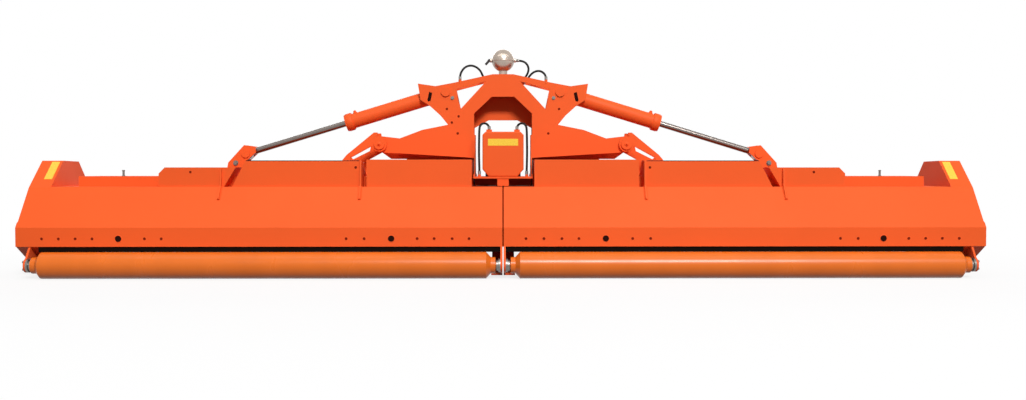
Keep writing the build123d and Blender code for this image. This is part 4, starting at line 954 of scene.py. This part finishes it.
class MULCHER_OT_stage(bpy.types.Operator):
    """Set the camera, the floor and the lamps"""

    bl_idname = "mulcher.stage"
    bl_label = "Set the stage"

    def execute(self, context):
        scene = context.scene
        scene.view_settings.view_transform = "Standard"
        view = scene.mulcher_camera
        camera = bpy.data.objects.new("camera", bpy.data.cameras.new("camera"))
        scene.collection.objects.link(camera)
        camera.location = (0, STRIP_Y - view.distance, view.height)
        camera.rotation_euler = (pi / 2 - view.dip, 0, -view.pan)
        camera.data.lens = view.lens
        camera.data.sensor_width = SENSOR_WIDTH
        camera.data.clip_end = FAR_CLIP
        scene.camera = camera
        self.light(scene)
        self.lay_floor(scene)
        return {"FINISHED"}

    def light(self, scene):
        """Sky that looks white and lights softly, and softboxes behind, above and in front of the machine."""
        world = bpy.data.worlds.new("studio")
        world.use_nodes = True
        scene.world = world
        tree = world.node_tree
        tree.nodes.clear()
        white = linear("#FFFFFF")
        soft = add_node(tree, "ShaderNodeBackground", inputs={"Color": white, "Strength": SKY_LIGHT})
        seen = add_node(tree, "ShaderNodeBackground", inputs={"Color": white, "Strength": SKY_SEEN})
        mix = add_node(tree, "ShaderNodeMixShader", inputs={
            0: seen_ray(tree), 1: soft.outputs["Background"], 2: seen.outputs["Background"]})
        add_node(tree, "ShaderNodeOutputWorld", inputs={"Surface": mix.outputs["Shader"]})
        for name, place, across, deep, power in LAMPS:
            lamp = bpy.data.lights.new(name, "AREA")
            lamp.shape, lamp.size, lamp.size_y, lamp.energy = "RECTANGLE", across, deep, power
            holder = bpy.data.objects.new(name, lamp)
            holder.location = place
            holder.rotation_euler = (LAMP_AIM - Vector(place)).to_track_quat("-Z", "Y").to_euler()
            scene.collection.objects.link(holder)

    def lay_floor(self, scene):
        """Pale floor that fades into the white round it and keeps the machine's shadow."""
        mesh = bpy.data.meshes.new("floor")
        corners = [(x * FLOOR_REACH, y * FLOOR_REACH, 0) for x, y in ((-1, -1), (1, -1), (1, 1), (-1, 1))]
        mesh.from_pydata(corners, [], [(0, 1, 2, 3)])
        floor = bpy.data.objects.new("floor", mesh)
        floor.location.z = CAD_LOW.z - FLOOR_DROP
        scene.collection.objects.link(floor)
        material = bpy.data.materials.new("pale_floor")
        material.use_nodes = True
        tree = material.node_tree
        tree.nodes.clear()
        place = add_node(tree, "ShaderNodeTexCoord").outputs["Object"]
        away = add_node(tree, "ShaderNodeVectorMath", {"operation": "LENGTH"}, {0: place})
        fade = add_node(tree, "ShaderNodeMapRange", inputs={
            "Value": away.outputs["Value"], "From Min": FLOOR_FADE_START, "From Max": FLOOR_FADE_END,
            "To Min": FLOOR_LIFT, "To Max": 1.0})
        matt = add_node(tree, "ShaderNodeBsdfDiffuse", inputs={"Color": linear("#F2F2F2")})
        lift = add_node(tree, "ShaderNodeEmission", inputs={"Color": linear("#FFFFFF"), "Strength": seen_ray(tree)})
        both = add_node(tree, "ShaderNodeMixShader", inputs={
            0: fade.outputs["Result"], 1: matt.outputs["BSDF"], 2: lift.outputs["Emission"]})
        add_node(tree, "ShaderNodeOutputMaterial", inputs={"Surface": both.outputs["Shader"]})
        mesh.materials.append(material)


OPERATORS = [
    MULCHER_OT_paint, MULCHER_OT_hoses, MULCHER_OT_stage, MULCHER_OT_holes, MULCHER_OT_bolts, MULCHER_OT_film,
    MULCHER_OT_seals, MULCHER_OT_welds, MULCHER_OT_cylinders, MULCHER_OT_pins, MULCHER_OT_shaft,
]


class MULCHER_PT_panel(bpy.types.Panel):
    """Steps that dress the mulcher"""

    bl_idname = "MULCHER_PT_panel"
    bl_label = "Folding mulcher"
    bl_space_type = "VIEW_3D"
    bl_region_type = "UI"
    bl_category = "Mulcher"

    def draw(self, context):
        for operator in OPERATORS:
            self.layout.operator(operator.bl_idname)


CLASSES = [MulcherFinish, MulcherFittings, MulcherCamera, *OPERATORS, MULCHER_PT_panel]


def register():
    for kind in CLASSES:
        bpy.utils.register_class(kind)
    bpy.types.Scene.mulcher_finish = bpy.props.PointerProperty(type=MulcherFinish)
    bpy.types.Scene.mulcher_fittings = bpy.props.PointerProperty(type=MulcherFittings)
    bpy.types.Scene.mulcher_camera = bpy.props.PointerProperty(type=MulcherCamera)


def unregister():
    del bpy.types.Scene.mulcher_camera
    del bpy.types.Scene.mulcher_fittings
    del bpy.types.Scene.mulcher_finish
    for kind in reversed(CLASSES):
        bpy.utils.unregister_class(kind)


def main():
    register()
    bpy.ops.mulcher.paint()
    bpy.ops.mulcher.hoses()
    bpy.ops.mulcher.stage()
    bpy.ops.mulcher.holes()
    bpy.ops.mulcher.bolts()
    bpy.ops.mulcher.film()
    bpy.ops.mulcher.seals()
    bpy.ops.mulcher.welds()
    bpy.ops.mulcher.cylinders()
    bpy.ops.mulcher.pins()
    bpy.ops.mulcher.shaft()


if __name__ == "__main__":
    main()
